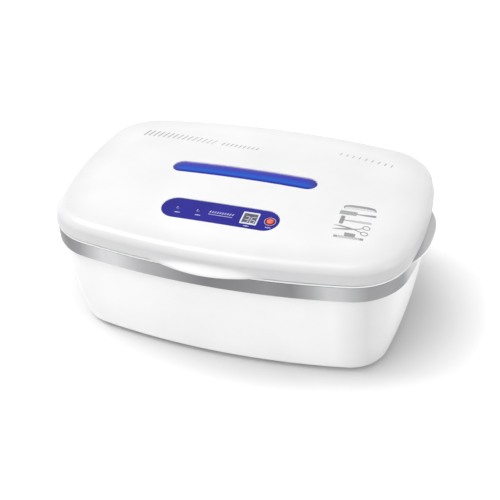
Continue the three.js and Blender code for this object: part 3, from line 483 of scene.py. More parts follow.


# Painted shade at places in millimetres: the greys along the box from its middle, the fade by height.
SKIRT_PAINTED_SHADE = {-176: "#d6d6d7", 100: "#d8d8d9", 150: "#d2d2d3", 170: "#d6d6d7"}
SKIRT_SHADE_FADE = {117: "#404040", 118: "#000000", 125: "#101010", 137: "#ffffff"}
# Painted shade and a lighter painted highlight round the tub's right front corner, along the box.
TUB_PAINTED_SHADE = {-170: "#f6f6f6", -130: "#fcfcfc", -110: "#ffffff", 112: "#ffffff", 128: "#f2f2f2",
             141: "#e4e4e4", 155: "#f0f0f0", 165: "#ffffff"}
# The thumb lip gets a paler painted shade of its own.
LIP_FROM, LIP_TO, LIP_PAINTED_SHADE = -116.5, -124.5, "#eeeeef"  # the lip's tone comes in between two depths
abs_plastic = partial(tone_patches, patch_mm=70, pitch_mm=3.5, IOR=1.54)
WHITES, GLOSS, PEEL_DEPTH = ("#f1f1f2", "#f6f6f6"), (0.26, 0.36), 0.02
lid_abs = toned(abs_plastic("lid_white_abs", WHITES, GLOSS, depth_mm=PEEL_DEPTH), skirt_painted_shade)
tub_abs = toned(abs_plastic("tub_white_abs", WHITES, GLOSS, depth_mm=PEEL_DEPTH), tub_painted_shade)
lining_abs = abs_plastic("satin_lining_abs", ("#eeeff0", "#f4f5f5"), (0.42, 0.52), depth_mm=0.03)
print("plastics:", lid_abs.name, tub_abs.name, lining_abs.name)

# %% [markdown]
# ## The lid
#
# The lid is one moulding: a low skirt, a quarter-ellipse shoulder, and a crown that rises a little more to
# the middle. Where shoulder and crown meet, their slopes must agree or the gloss breaks into a line. The
# crown's slope at its edge differs between the long and the short way, so the ellipse's height is worked out
# for each point of the outline from the condition that it touches the crown's own slope. The front of the
# skirt flares into the lip that a thumb lifts.

# %% Levels and the lid's skin
lid_high = box_mm("lid_shell")[1]
liner_low, liner_high = box_mm("lid_liner")
LID_WALL, SKIRT, DRAFT = 2.5, 7.2, 1.6
SHOULDER, SHOULDER_INSET = 10.8, 13.1
SHOULDER_TOP = LID_BOTTOM + SKIRT + SHOULDER
CROWN = lid_high[2] - SHOULDER_TOP
crown_edge = outline(SHOULDER_INSET)
edge_bearing = np.arctan2(crown_edge[:, 1], crown_edge[:, 0])
edge_reach = np.hypot(*crown_edge.T)


def crown_share(x, y):
    """How far out on the crown a point lies, 0 at the middle and 1 on the shoulder line: its distance over
    the shoulder line's distance on the same bearing."""
    return np.hypot(x, y) / np.interp(np.arctan2(y, x), edge_bearing, edge_reach, period=2 * np.pi)


def crown_height(x, y):
    """Height of the crown: shoulder top plus rise x (1 - share^2)."""
    return SHOULDER_TOP + CROWN * (1 - crown_share(x, y) ** 2)


tangent = np.roll(crown_edge, -1, axis=0) - np.roll(crown_edge, 1, axis=0)
facing = np.stack([tangent[:, 1], -tangent[:, 0]], 1) / np.hypot(*tangent.T)[:, None]
crown_slope = 2 * CROWN / (crown_edge * facing).sum(1)


def dome_rings(depth, steps):
    """Rings from the top of the skirt to the middle of the crown, at a depth under the outer skin. The
    shoulder is inset - reach x cos t, foot + height x sin t, with height^2 = rise^2 - (slope x reach)^2."""
    reach, rise = SHOULDER_INSET - DRAFT - depth, SHOULDER - depth
    height = np.sqrt(rise ** 2 - (crown_slope * reach) ** 2)
    last = np.arccos(crown_slope.max() * reach / rise)
    foot = SHOULDER_TOP - SHOULDER
    rings = [level_ring(outline(SHOULDER_INSET - reach * np.cos(t)), foot + height * np.sin(t))
             for t in np.linspace(0, last, steps)]
    left = reach * np.cos(last)
    shapes = [outline(inset) for inset in np.linspace(SHOULDER_INSET - left, SHOULDER_INSET, 4)[1:-1]]
    shares = np.concatenate([np.linspace(1, 0.1, steps * 2), [0.04]])
    rings += [level_ring(shape, crown_height(*shape.T) - depth) for shape in shapes]
    return rings + [level_ring(crown_edge * share, SHOULDER_TOP - depth + CROWN * (1 - share ** 2))
                    for share in shares]


def lid_skin():
    """Inner skin from the middle down, round the lower edge, then the outer skin with its lip up to the
    middle. The lip's reach falls as (1 - t)^2 up to its height."""
    edge, lip_edge, lip_top = 0.5, 1.8, 6.5
    outside = [
        ring(edge, LID_BOTTOM, 0.95),
        ring(edge * 0.3, LID_BOTTOM + edge * 0.3, 0.985),
        ring(0, LID_BOTTOM + edge, 1),
        ring(0, LID_BOTTOM + lip_edge - edge, 1),
    ]
    for t in np.linspace(0.04, 1, 10):
        height = lip_edge + (lip_top - lip_edge) * t
        outside.append(ring(DRAFT * height / SKIRT, LID_BOTTOM + height, (1 - t) ** 2))
    outside += dome_rings(0, 16)
    inside = [ring(LID_WALL + 0.2, LID_BOTTOM), ring(LID_WALL, LID_BOTTOM + 0.4)] + dome_rings(LID_WALL, 8)
    middle = [[0, 0, SHOULDER_TOP + CROWN - LID_WALL], [0, 0, SHOULDER_TOP + CROWN]]
    return skin("lid_shell_skin", inside[::-1] + outside, lid_abs, middle)


lid = lid_skin()
print("lid skin:", len(lid.data.polygons), "faces, crown rises", round(CROWN, 2), "mm")

# %% [markdown]
# The window and the panel drop into two long round-ended holes. Capsule prisms cut them with an exact
# Boolean, which leaves the crisp edge that a mould's core makes. The rear of the lid carries the outer
# knuckles of the two hinges and the boss of the cord gland, and short posts inside take the liner's screws.

# %% Holes, knuckles and posts of the lid
LID_SCREW_PLACES = [(-138, -70), (138, -70), (-138, 70), (138, 70), (0, -97), (0, 97)]
WINDOW = {"length": 144.1, "width": 19.4, "x": -2.4, "y": 3.0, "gap": 0.12}
PANEL = {"length": 112.5, "width": 27.9, "x": -4.1, "y": -62.6, "gap": 0.12}
GLAND_Z = 123.2
HINGE = {"x": 50.0, "y": 121.0, "z": 115.2, "radius": 4.0, "bore": 1.8, "middle": 12.0, "outer": 8.0,
         "gap": 0.3, "arm": 12.0}


def capsule_prism(piece):
    """The hole for a capsule plate, a little larger than the plate all round."""
    spare = 2 * piece["gap"]
    shape = capsule(piece["length"] + spare, piece["width"] + spare, (piece["x"], piece["y"]))
    return prism("hole", shape, LID_BOTTOM + SKIRT, lid_high[2] + 5)


def knuckle(name, x0, x1, arm_low, arm_high, finish):
    """A hinge eye with its arm: a tube about the pin, and a plate from the tube towards the box, as one
    outline of arc and straights carried along X."""
    radius, y, z = HINGE["radius"], HINGE["y"], HINGE["z"]
    root = y - HINGE["arm"]
    start = np.arcsin(np.clip((arm_high - z) / radius, -1, 1))
    stop = np.arcsin(np.clip((arm_low - z) / radius, -1, 1))
    eye = arc((y, z), radius, np.pi - start, -np.pi - stop, 40)
    shape = np.concatenate([[[root, arm_high]], eye, [[root, arm_low]]])[::-1]
    edge = 0.4
    centre = np.array([y, z])
    drawn = centre + (shape - centre) * (1 - edge / radius)
    drawn[[0, -1], 0] = root
    rings = [np.column_stack([np.full(len(s), x), s]) for x, s in
             ((x0, drawn), (x0 + edge, shape), (x1 - edge, shape), (x1, drawn))]
    made = skin(name, rings, finish, [[x0, y - radius / 2, z], [x1, y - radius / 2, z]])
    bore = [[0, x0 - 1], [HINGE["bore"], x0 - 1], [HINGE["bore"], x1 + 1], [0, x1 + 1]]
    return cut(made, turned("bore", bore, [0, y, z], axis="x", sides=32))


def boss_and_posts():
    """The gland's boss, and a post for each of the liner's screws, as solids that reach into the skin."""
    made = [turned("boss", [[0, 110.4], [3.7, 110.4], [3.7, 116.9], [0, 116.9]], [0, 0, GLAND_Z], axis="y")]
    for x, y in LID_SCREW_PLACES:
        top = crown_height(x, y) - LID_WALL / 2 if abs(x) < 1 else SHOULDER_TOP - 1.0
        post = [[0, liner_high[2] + 0.3], [4, liner_high[2] + 0.3], [4, top], [0, top]]
        made.append(turned("post", post, [x, y, 0], sides=24))
    return made


lid = cut(lid, capsule_prism(WINDOW), capsule_prism(PANEL))
cut(lid, *boss_and_posts(), way="UNION")
neck = [[0, 100], [3.0, 100], [3.0, 122], [0, 122]]
cut(lid, turned("neck", neck, [0, 0, GLAND_Z], axis="y", sides=32))
dress(lid, "lid", "white_abs", "lid_shell")

EYE_START = HINGE["middle"] / 2 + HINGE["gap"]  # where the lid's two eyes start, from a hinge's middle
EYE_END = EYE_START + HINGE["outer"]
for side in (-1, 1):
    for way in (-1, 1):
        ends = sorted(side * HINGE["x"] + way * reach for reach in (EYE_START, EYE_END))
        name = "lid_knuckle_" + "lr"[side > 0] + "_" + "io"[side == way]
        dress(knuckle(name, *ends, LID_BOTTOM, LID_BOTTOM + 3.4, lid_abs), "lid", "white_abs")
print("lid:", len(lid.data.polygons), "faces after its holes")

# %% [markdown]
# ## The silver band
#
# A moulded band clips round the tub's rim. It is lacquered silver: a metallic paint in which fine aluminium
# flakes lie under a clear coat, so it is duller than chrome. Along the band its colour carries painted
# reflections and highlights, and the painted shadow under the lip. At each end it runs out into a flat tab
# for the fingers.

# %% Silver band
# Painted reflections, highlights and shade of the lacquer at places along the box, in millimetres from its
# middle: the shadow under the lip and the lit tops of the tabs among them.
BAND_PAINTED_SHEEN = {
    -184: "#f0f0f1", -180: "#dcdcde", -176: "#a8a8aa", -173: "#8a8a8c", -167: "#6e6e71", -160: "#464649",
    -150: "#525254", -122: "#8c8c8e", -98: "#c8c8ca", -82: "#cacacc", -57: "#a6a6a8", -20: "#89898b",
    8: "#747476", 30: "#7a7a7c", 60: "#858587", 84: "#7e7e80", 103: "#a0a0a2", 117: "#bebec0",
    128: "#b9b9bb", 148: "#929294", 166: "#949496", 173: "#8c8c8e", 176: "#bcbcbe", 180: "#e2e2e4",
    184: "#f2f2f3"}
# The noise carries the painted sheen and shade along the box by up to this much.
SHEEN_WANDER = 12.0  # how far the noise carries a tone along the box, in millimetres
# Insets of the band's faces from the outline, and the ear's thickness and the lower edge's radius.
BAND = {"face": 0.9, "hem": 1.1, "inside": 4.2, "groove": 3.2, "cover": 7.0, "thick": 2.2, "roll": 0.7}


def silver_lacquer():
    """Metallic lacquer: grey flakes half a millimetre apart under a clear coat, with a long drift of painted
    reflections and shade.
    """
    made, tree, shader, place = material("silver_lacquer", "#b4b5b8", 0.34, Metallic=0.75, Coat_Weight=0.25,
                                         Coat_Roughness=0.2)
    along = add(tree, "SeparateXYZ", {"Vector": place}).outputs["X"]
    wander = add(tree, "TexNoise", {"Vector": place, "Scale": 1 / (60 * MM), "Detail": 1.0}).outputs["Fac"]
    shifted = add(tree, "Math", {0: wander, 1: SHEEN_WANDER * MM, 2: along}, operation="MULTIPLY_ADD")
    tone = ramp_over(tree, shifted.outputs[0], -184 + SHEEN_WANDER / 2, 184 + SHEEN_WANDER / 2, BAND_PAINTED_SHEEN)
    tree.links.new(tone, shader.inputs["Base Color"])
    flakes = add(tree, "TexVoronoi", {"Vector": place, "Scale": 1 / (0.5 * MM)})
    bump = add(tree, "Bump", {"Height": flakes.outputs["Distance"], "Distance": 0.01 * MM, "Strength": 0.4})
    tree.links.new(bump.outputs["Normal"], shader.inputs["Normal"])
    return made


silver = silver_lacquer()
band_low, band_high = box_mm("rim_band")
BAND_BOTTOM, BAND_TOP = band_low[2], band_high[2]


def band_skin():
    """Lower lip of the band, upright face, the ear's rounded edge, flat top, and the hidden inside."""
    face, inside, roll, thick = BAND["face"], BAND["inside"], BAND["roll"], BAND["thick"]
    under, middle = BAND_TOP - thick, BAND_TOP - thick / 2
    rings = [ring(inside, BAND_BOTTOM)]
    rings += levels(arc((BAND["hem"] + roll, BAND_BOTTOM + roll), (-roll, roll), -QUARTER, 0, 6))
    rings += [ring(face, under - drop, ear=ear)
              for drop, ear in ((2.0, 0.0), (1.0, 0.0), (0.6, 0.04), (0.2, 0.3), (0.0, 0.9))]
    rings += [ring(face, middle + thick / 2 * np.sin(t), ear=0.93 + 0.07 * np.cos(t))
              for t in np.linspace(-QUARTER, QUARTER, 9)]
    rings[-1] = ring(face + 0.3, BAND_TOP, ear=0.93)
    rings += levels([(BAND["cover"], BAND_TOP), (BAND["cover"], BAND_TOP - 2), (BAND["groove"], BAND_TOP - 2),
                     (BAND["groove"], BAND_BOTTOM + 2), (inside, BAND_BOTTOM + 2)])
    return skin("rim_band_skin", rings, silver)


band = dress(band_skin(), "base", "silver_lacquer", "rim_band")
print("band:", len(band.data.polygons), "faces,", np.round(BAND_TOP - BAND_BOTTOM, 1), "mm high")

# %% [markdown]
# ## The tub
#
# Outside is the tub that the photo shows: upright under the band, then drawn in more and more towards the
# floor, and rounded into the bottom. Inside hangs a second tub, the lining, whose flange lies on the rim and
# shows as a thin white line between band and lid.

# %% Outer tub
TUB = {"bottom": 3.0, "inset": 4.5, "taper": 12.6, "fillet": 7.0, "wall": 2.5}
FOOT_PLACES = [(-122, -70), (122, -70), (-122, 70), (122, 70)]
BASE_SCREW_PLACES = [(-88, -67.5), (88, -67.5), (-88, 67.5), (88, 67.5)]


def wall_inset(z):
    """Inset of the tub's wall: fixed under the band, plus taper x share^2 down to the fillet."""
    foot = TUB["bottom"] + TUB["fillet"]
    return TUB["inset"] + TUB["taper"] * np.clip((BAND_BOTTOM - z) / (BAND_BOTTOM - foot), 0, 1) ** 2


def scaled(inset, share, height):
    """A smaller copy of an outline about the middle, for a floor."""
    return level_ring(outline(inset) * share, height)


def tub_skin():
    """Floor, fillet, wall and rim, then back down the inside."""
    low, wall, bend = TUB["bottom"], TUB["wall"], TUB["fillet"]
    inset, foot, top = TUB["inset"] + TUB["taper"], low + bend, BAND_TOP - 2.3
    rings = [scaled(inset + bend, share, low) for share in (0.1, 0.5, 0.9)]
    rings += levels(arc((inset + bend, foot), (-bend, bend), -QUARTER, 0, 12))
    rings += [ring(wall_inset(z), z) for z in np.linspace(foot, BAND_BOTTOM, 20)[1:]]
    rings += [ring(TUB["inset"], top), ring(TUB["inset"] + wall, top)]
    rings += [ring(wall_inset(z) + wall, z) for z in np.linspace(BAND_BOTTOM, foot, 6)]
    rings += [ring(inset + bend, low + wall), scaled(inset + bend, 0.5, low + wall)]
    return skin("base_shell_skin", rings, tub_abs, [[0, 0, low], [0, 0, low + wall]])


tub = tub_skin()
recess = [[0, 0], [3.6, 0], [3.6, 6.5], [0, 6.5]]
cut(tub, *[turned("recess", recess, [x, y, 0], sides=32) for x, y in BASE_SCREW_PLACES])
dress(tub, "base", "white_abs", "base_shell")
print("tub:", len(tub.data.polygons), "faces")

# %% Lining tub
FLANGE = {"bottom": 113.6, "top": 115.4, "inset": 0.6}
CHAMBER = {"throat": 11.5, "taper": 8.0, "depth": 87.4, "fillet": 6.0, "wall": 2.0}


def chamber_inset(z):
    """The lining's wall leans in evenly from the throat to the floor."""
    return CHAMBER["throat"] + CHAMBER["taper"] * (FLANGE["top"] - z) / CHAMBER["depth"]


def lining_skin():
    """Under side from the middle out, the flange with a rounded rim and throat, and the inside down again."""
    floor, bend, wall = FLANGE["top"] - CHAMBER["depth"], CHAMBER["fillet"], CHAMBER["wall"]
    foot, throat, roll = floor + bend, CHAMBER["throat"], 1.4
    inset = chamber_inset(foot)
    middle, half_thick = (FLANGE["bottom"] + FLANGE["top"]) / 2, (FLANGE["top"] - FLANGE["bottom"]) / 2
    rings = [scaled(inset + bend, 0.5, floor - wall)]
    rings += levels(arc((inset + bend, foot), (-bend - wall, bend + wall), -QUARTER, 0, 8))
    rings += [ring(throat - wall, FLANGE["bottom"])]
    rings += levels(arc((FLANGE["inset"] + 0.4, middle), (-0.4, half_thick), -QUARTER, QUARTER, 9))
    rings += levels(arc((throat - roll, FLANGE["top"] - roll), roll, QUARTER, 0, 8))
    rings += [ring(chamber_inset(z), z) for z in np.linspace(FLANGE["top"] - roll, foot, 14)[1:]]
    rings += levels(arc((inset + bend, foot), -bend, 0, QUARTER, 10)[1:])
    rings.append(scaled(inset + bend, 0.5, floor))
    return skin("inner_tub_skin", rings, lining_abs, [[0, 0, floor - wall], [0, 0, floor]])


lining = dress(lining_skin(), "base", "lining_white", "inner_tub")
for side in (-1, 1):
    ends = [side * HINGE["x"] - HINGE["middle"] / 2, side * HINGE["x"] + HINGE["middle"] / 2]
    eye = knuckle("tub_knuckle_" + "lr"[side > 0], *ends, FLANGE["bottom"], FLANGE["top"], lining_abs)
    dress(eye, "base", "lining_white")
print("lining:", len(lining.data.polygons), "faces")

# %% [markdown]
# ## The light window
#
# The long window is a bar of violet acrylic set into the lid from inside. Its rim is rolled over and its back
# is blasted, so the tube's light spreads along it. Its colour is painted light: a painted reflection in
# violet along the rear where the bar curves up to the sky, a painted highlight as a bright blue line, and
# painted shade in deep blue at the front edge. The tones are a ramp across the bar, read from Object
# coordinates, and they close to a darker painted shade of violet at both ends.

# %% Acrylic for the window
# Painted reflection, highlight and shade at shares of the bar's width, and the painted shade that its round
# ends close to.
WINDOW_PAINTED_LIGHT = {0.0: "#0c0c86", 0.13: "#0c1fa0", 0.32: "#085cd2", 0.5: "#104bc0", 0.75: "#2c28b4",
                1.0: "#3c30b8"}
WINDOW_END_SHADE = "#3a3199"


def window_acrylic():
    """Polished tinted acrylic, IOR 1.49. Its painted reflection, highlight and shade run across the bar,
    from the front edge to the rear.
    """
    made, tree, shader, place = material("tinted_window_acrylic", "#2f5fd8", 0.12, IOR=1.49)
    axes = add(tree, "SeparateXYZ", {"Vector": place}).outputs
    low, high = WINDOW["y"] - WINDOW["width"] / 2, WINDOW["y"] + WINDOW["width"] / 2
    tones = {low + share * WINDOW["width"]: code for share, code in WINDOW_PAINTED_LIGHT.items()}
    band = ramp_over(tree, axes["Y"], low, high, tones)
    centred = add(tree, "Math", {0: axes["X"], 1: WINDOW["x"] * MM}, operation="SUBTRACT")
    along = add(tree, "Math", {0: centred.outputs[0]}, operation="ABSOLUTE").outputs[0]
    half = WINDOW["length"] / 2 * MM
    end = add(tree, "MapRange", {"Value": along, "From Min": half * 0.86, "From Max": half * 1.02})
    closed = add(tree, "MixRGB", {"Fac": end.outputs["Result"], "Color1": band,
                                  "Color2": linear(WINDOW_END_SHADE)})
    tree.links.new(closed.outputs["Color"], shader.inputs["Base Color"])
    grain(tree, shader, place, 6, 0.01, (0.08, 0.16))
    return made


window_finish = window_acrylic()
print("window finish:", window_finish.name)

# %% [markdown]
# A capsule bar is drawn by stations along X. Each station carries one cross-section whose width follows the
# round ends. The ends' stations lie closer together, as the sine of an even angle does, and the last one
# stops just short of the tip, so that no section shrinks to a point.

# %% Capsule bars
def capsule_bar(name, piece, finish, top, bottom, rim=0.0, bulge=0.0, grow=0.0):
    """A bar under the crown. Its half width is sqrt(radius^2 - beyond^2), where beyond is how far a station
    lies past the straight stretch. The top's depth under the crown is top + bulge x (1 - share)^2, share
    being the distance from the edge over the radius, and a quarter circle of radius rim rounds its edge."""
    length, width, centre, y = piece["length"] + 2 * grow, piece["width"] + 2 * grow, piece["x"], piece["y"]
    radius, straight = width / 2, (length - width) / 2
    turn = np.sin(np.linspace(0, QUARTER * 0.985, 22)) * radius
    x = np.concatenate([-straight - turn[::-1], np.linspace(-straight, straight, 50)[1:-1], straight + turn])
    beyond = np.clip(np.abs(x) - straight, 0, None)
    half = np.sqrt(radius ** 2 - beyond ** 2)
    across = half[:, None] * np.sin(np.linspace(-QUARTER, QUARTER, 29))
    from_edge = radius - np.hypot(beyond[:, None], across)
    fall = np.zeros_like(across)
    if rim:
        fall = rim * (1 - np.sqrt(1 - np.clip(1 - from_edge / rim, 0, 1) ** 2))
    depth = top + bulge * (1 - from_edge / radius) ** 2 + fall
    stations = np.broadcast_to(centre + x[:, None], across.shape)
    crown = crown_height(stations, y + across)
    face = np.stack([stations, y + across, crown - depth], -1)
    under = np.stack([stations, y + across, crown - bottom], -1)[:, ::-1]
    sections = np.concatenate([face, under], 1)[:, ::-1]
    return skin(name, sections, finish, [sections[0].mean(0), sections[-1].mean(0)])


EDGE_FLANGE = 3.0  # how far the flange reaches under the lid all round, in millimetres


def plate(name, piece, *bar, **edges):
    """A capsule bar with the flange that holds it under the lid."""
    collar = capsule_bar("collar", piece, None, LID_WALL + 0.3, LID_WALL + 1.5, grow=EDGE_FLANGE)
    return cut(capsule_bar(name, piece, *bar, **edges), collar, way="UNION")


window = plate("window_bar", WINDOW, window_finish, 0.35, 3.9, rim=0.9, bulge=0.7)
dress(window, "lid", "window_violet", "window_lens")
print("window:", len(window.data.polygons), "faces")

# %% [markdown]
# ## The control panel
#
# The panel is a clear acrylic plate, printed violet on its back, so the colour lies under a gloss. The same
# capsule bar draws it, nearly flat. Its display, button and lamps stand in a frame that is tipped to the
# slope of the crown: in that frame z is 0 on the crown and a small piece is as easy to draw as on a table.

# %% Panel plate
panel_finish = tone_patches("back_printed_acrylic", ("#211e8e", "#28259a"), (0.1, 0.18), 30, 8, 0.01,
                            IOR=1.49)
PANEL_TILT = np.arctan(2 * CROWN * -PANEL["y"] / (HALF_WIDTH - SHOULDER_INSET) ** 2)
PANEL_ORIGIN = np.array([PANEL["x"], PANEL["y"], crown_height(0, PANEL["y"])])
PANEL_DEPTH = 0.4  # how far the plate's face lies under the crown


def tipped(piece):
    """Moves a piece's points from the panel's frame to the box's: origin + x (1,0,0) + y (0,cos,sin)
    + z (0,-sin,cos)."""
    cos, sin = np.cos(PANEL_TILT), np.sin(PANEL_TILT)
    x, y, z = points_of(piece).T
    moved = np.stack([x, y * cos - z * sin, y * sin + z * cos], 1) + PANEL_ORIGIN * MM
    piece.data.vertices.foreach_set("co", moved.ravel())
    piece.data.update()
    return piece


DISPLAY = {"x": 28.75, "width": 15.8, "height": 16.2, "border": 1.4}
BUTTON = {"x": 47.75, "radius": 3.2, "ring": 4.7}
LEDS = {"uv": -39.65, "power": -20.05}
LED_RADIUS = 1.4


def sag(x):
    """How far the crown lies under the panel's flat frame, at a place along the panel."""
    return PANEL_ORIGIN[2] - crown_height(PANEL["x"] + x, PANEL["y"])


panel = plate("panel_plate", PANEL, panel_finish, PANEL_DEPTH, 3.8, rim=0.5)
holes = [rounded(DISPLAY["width"] + 0.5, DISPLAY["height"] + 0.5, 0.9, (DISPLAY["x"], 0)),
         circle((BUTTON["x"], 0), BUTTON["ring"] + 0.15)]
holes += [circle((x, 0), LED_RADIUS + 0.2) for x in LEDS.values()]
cut(panel, *[tipped(prism("hole", shape, -9, 3)) for shape in holes])
dress(panel, "lid", "panel_violet", "control_panel")
print("panel:", len(panel.data.polygons), "faces, tipped", round(np.degrees(PANEL_TILT), 2), "degrees")

# %% [markdown]
# ## Display, button and lamps
#
# A white frame holds a grey liquid-crystal cell. Its numerals are the plain seven-segment kind, so each is a
# few bars with pointed ends. Every bar, and every printed mark on the lid later on, is a strip: a path with a
# width at each point, laid on a surface and given a hair of thickness.

# %% Strips laid on a surface
SUNK = 0.04  # how far a strip's underside lies in the surface, in millimetres


def strips(name, paths, finish, height_at, thick=0.05):
    """One mesh of many flat strips. Each path is (points, widths). Each point gives a section of four
    corners, half a width along the path's normal to either side, from under the surface to thick over it."""
    points, faces = [], []
    for path, widths in paths:
        path = np.asarray(path, float)
        along = np.gradient(path, axis=0)
        along /= np.hypot(*along.T)[:, None] + 1e-12
        normal = np.stack([-along[:, 1], along[:, 0]], 1) * np.broadcast_to(widths, len(path))[:, None] / 2
        sides = [path + normal, path - normal]
        heights = [height_at(*side.T) for side in sides]
        corners = [np.column_stack([side, height + lift]) for side, height, lift in
                   ((sides[0], heights[0], -SUNK), (sides[1], heights[1], -SUNK),
                    (sides[1], heights[1], thick), (sides[0], heights[0], thick))]
        first, count = sum(map(len, points)), len(path)
        points.append(np.stack(corners, 1).reshape(-1, 3))
        k, i = np.arange(count - 1)[:, None] * 4 + first, np.arange(4)
        after = (i + 1) % 4
        faces += np.stack([k + i, k + 4 + i, k + 4 + after, k + after], -1).reshape(-1, 4).tolist()
        last = first + 4 * (count - 1)
        faces += [[first, first + 1, first + 2, first + 3], [last + 3, last + 2, last + 1, last]]
    return keep(name, np.concatenate(points), faces, finish)


def segment(start, end, width):
    """A display bar: full width between two pointed ends, with a hair of room to its neighbours."""
    start, end = np.array(start, float), np.array(end, float)
    step = (end - start) / np.hypot(*(end - start))
    start, end = start + step * width * 0.12, end - step * width * 0.12
    path = [start, start + step * width / 2, end - step * width / 2, end]
    return path, [0.02, width, width, 0.02]


def numeral(digit, centre, width, height, stroke, slant=0.1):
    """Bars of a seven-segment numeral, leaned by x + slant x y."""
    a, b, c = width / 2, height / 2, 0
    bars = {"top": ((-a, b), (a, b)), "middle": ((-a, c), (a, c)), "bottom": ((-a, -b), (a, -b)),
            "upper_left": ((-a, c), (-a, b)), "upper_right": ((a, c), (a, b)),
            "lower_left": ((-a, -b), (-a, c)), "lower_right": ((a, -b), (a, c))}
    lit = {3: ("top", "middle", "bottom", "upper_right", "lower_right"),
           6: ("top", "middle", "bottom", "upper_left", "lower_left", "lower_right")}[digit]
    lean = [[1, 0], [slant, 1]]
    return [segment(*(np.array(bars[name]) @ lean + centre), stroke) for name in lit]


flat = lambda level: (lambda x, y: np.full(np.shape(x), level))
print("strips ready")

# %% Display
# The frame is satin and nearly white, the cell dark under a gloss, and the numerals glow a little.
display_white = tone_patches("white_display_frame", ("#e4e4ee", "#eeeef6"), (0.32, 0.42), 9, 1.2, 0.01,
                             IOR=1.5)
display_glass = tone_patches("grey_display_cell", ("#55555e", "#6b6b76"), (0.06, 0.12), 14, 4, 0.004,
                             IOR=1.52)
numeral_glow = material("lilac_numerals", "#c4c0da", 0.3, Emission_Color=linear("#d9d2f4"),
                        Emission_Strength=0.08)[0]
CELL_FACE = -0.8 - sag(DISPLAY["x"])


def display_frame():
    """A hoop of rounded rectangles with rolled edges."""
    width, height, border, x = DISPLAY["width"], DISPLAY["height"], DISPLAY["border"], DISPLAY["x"]
    rings, low = [], sag(x)
    for inset, level in ((0, -3), (0, -0.35 - low), (0.1, -0.17 - low), (0.3, -0.1 - low),
                         (border - 0.35, -0.1 - low), (border - 0.1, -0.2 - low), (border, -0.45 - low),
                         (border, -3)):
        radius = max(0.25, 0.9 - inset * 0.6)
        rings.append(level_ring(rounded(width - 2 * inset, height - 2 * inset, radius, (x, 0)), level))
    return tipped(skin("display_rim", rings, display_white))


def display_cell():
    """The cell's head: a slab with a fine bevel, sunk into the frame."""
    width, height = [DISPLAY[way] - 2 * DISPLAY["border"] - 0.3 for way in ("width", "height")]
    rings = [level_ring(rounded(width - 2 * inset, height - 2 * inset, 0.3, (DISPLAY["x"], 0)), z)
             for inset, z in ((0, -6), (0, CELL_FACE - 0.1), (0.12, CELL_FACE))]
    tips = [[DISPLAY["x"], 0, -6], [DISPLAY["x"], 0, CELL_FACE]]
    return tipped(skin("display_cell", rings, display_glass, tips))


dress(display_frame(), "lid", "display_white", "display_frame")
dress(display_cell(), "lid", "display_grey", "display_module")
digits = [bar for digit, x in ((3, -2.9), (6, 3.2))
          for bar in numeral(digit, (DISPLAY["x"] + x, -1.7), 4.0, 8.4, 0.85)]
dress(tipped(strips("display_numerals", digits, numeral_glow, flat(CELL_FACE))), "lid", "display_grey")
print("display:", len(digits), "lit bars")

# %% Button and lamps
# The button is satin where fingers rub it, its ring keeps the tool's gloss, and the lamps are clear beads.
button_red = tone_patches("salmon_button_abs", ("#ee6a58", "#f47a68"), (0.3, 0.4), 3, 0.8, 0.01, IOR=1.54)
ring_red = tone_patches("dark_red_ring_abs", ("#7d0d10", "#951518"), (0.22, 0.32), 3, 0.8, 0.008, IOR=1.54)
led_resin = tone_patches("clear_led_resin", ("#3c3c9c", "#6a6ac8"), (0.05, 0.1), 1.5, 1.0, 0.004, IOR=1.55)


def ring_profile():
    """Section of the ring: a tube wall whose top is a half circle."""
    inner, outer = BUTTON["radius"] + 0.3, BUTTON["ring"]
    top = arc(((inner + outer) / 2, -0.55 - sag(BUTTON["x"])), (outer - inner) / 2, 0, np.pi, 12)
    return np.concatenate([[[inner, -2.5], [outer, -2.5]], top, [[inner, -2.5]]])


def button_profile():
    """Section of the button: stem, flange that the ring holds down, cap with a rolled edge and a low dome."""
    radius, top, roll = BUTTON["radius"], 0.32 - sag(BUTTON["x"]), 0.55
    edge = arc((radius - roll, top - roll), roll, 0, QUARTER, 8)
    dome = np.linspace(radius - roll, 0, 8)[1:]
    rise = np.stack([dome, top + 0.18 * (1 - (dome / (radius - roll)) ** 2)], 1)
    return np.concatenate([[[0, -3.4], [1.6, -3.4], [1.6, -3.6], [4.1, -3.6], [4.1, -2.7], [radius, -2.7]],
                           edge, rise])


def lamp_profile(x):
    """Section of an indicator lamp: a rod with a half-round end a little under the panel's face."""
    dome = arc((0, -1.3 - sag(x)), (LED_RADIUS, 0.85), 0, QUARTER, 8)
    dome[-1, 0] = 0
    return np.concatenate([[[0, -8.7], [LED_RADIUS, -8.7]], dome])


place_on_panel = [BUTTON["x"], 0, 0]
bezel = tipped(turned("button_bezel", ring_profile(), place_on_panel, ring_red, sides=64))
cap = tipped(turned("button_cap", button_profile(), place_on_panel, button_red, sides=64))
dress(bezel, "lid", "ring_red", "button_ring")
dress(cap, "set_button", "button_red", "set_button")
for name, x in LEDS.items():
    lamp = tipped(turned("indicator_" + name, lamp_profile(x), [x, 0, 0], led_resin, sides=32))
    dress(lamp, "lid", "led_clear", "led_" + name)
print("button and", len(LEDS), "lamps in place")

# %% [markdown]
# ## Printed marks and painted highlights
#
# The lid carries pad-printed figures of the tools that go inside, in grey ink a few hundredths of a
# millimetre thick, and rows of slim slanted strokes. Small white signs on the panel stand by the lamps, the
# display and the button, and a crescent of the same white by each lamp is a painted highlight. All of them
# are strips on the crown, so they bend with it.

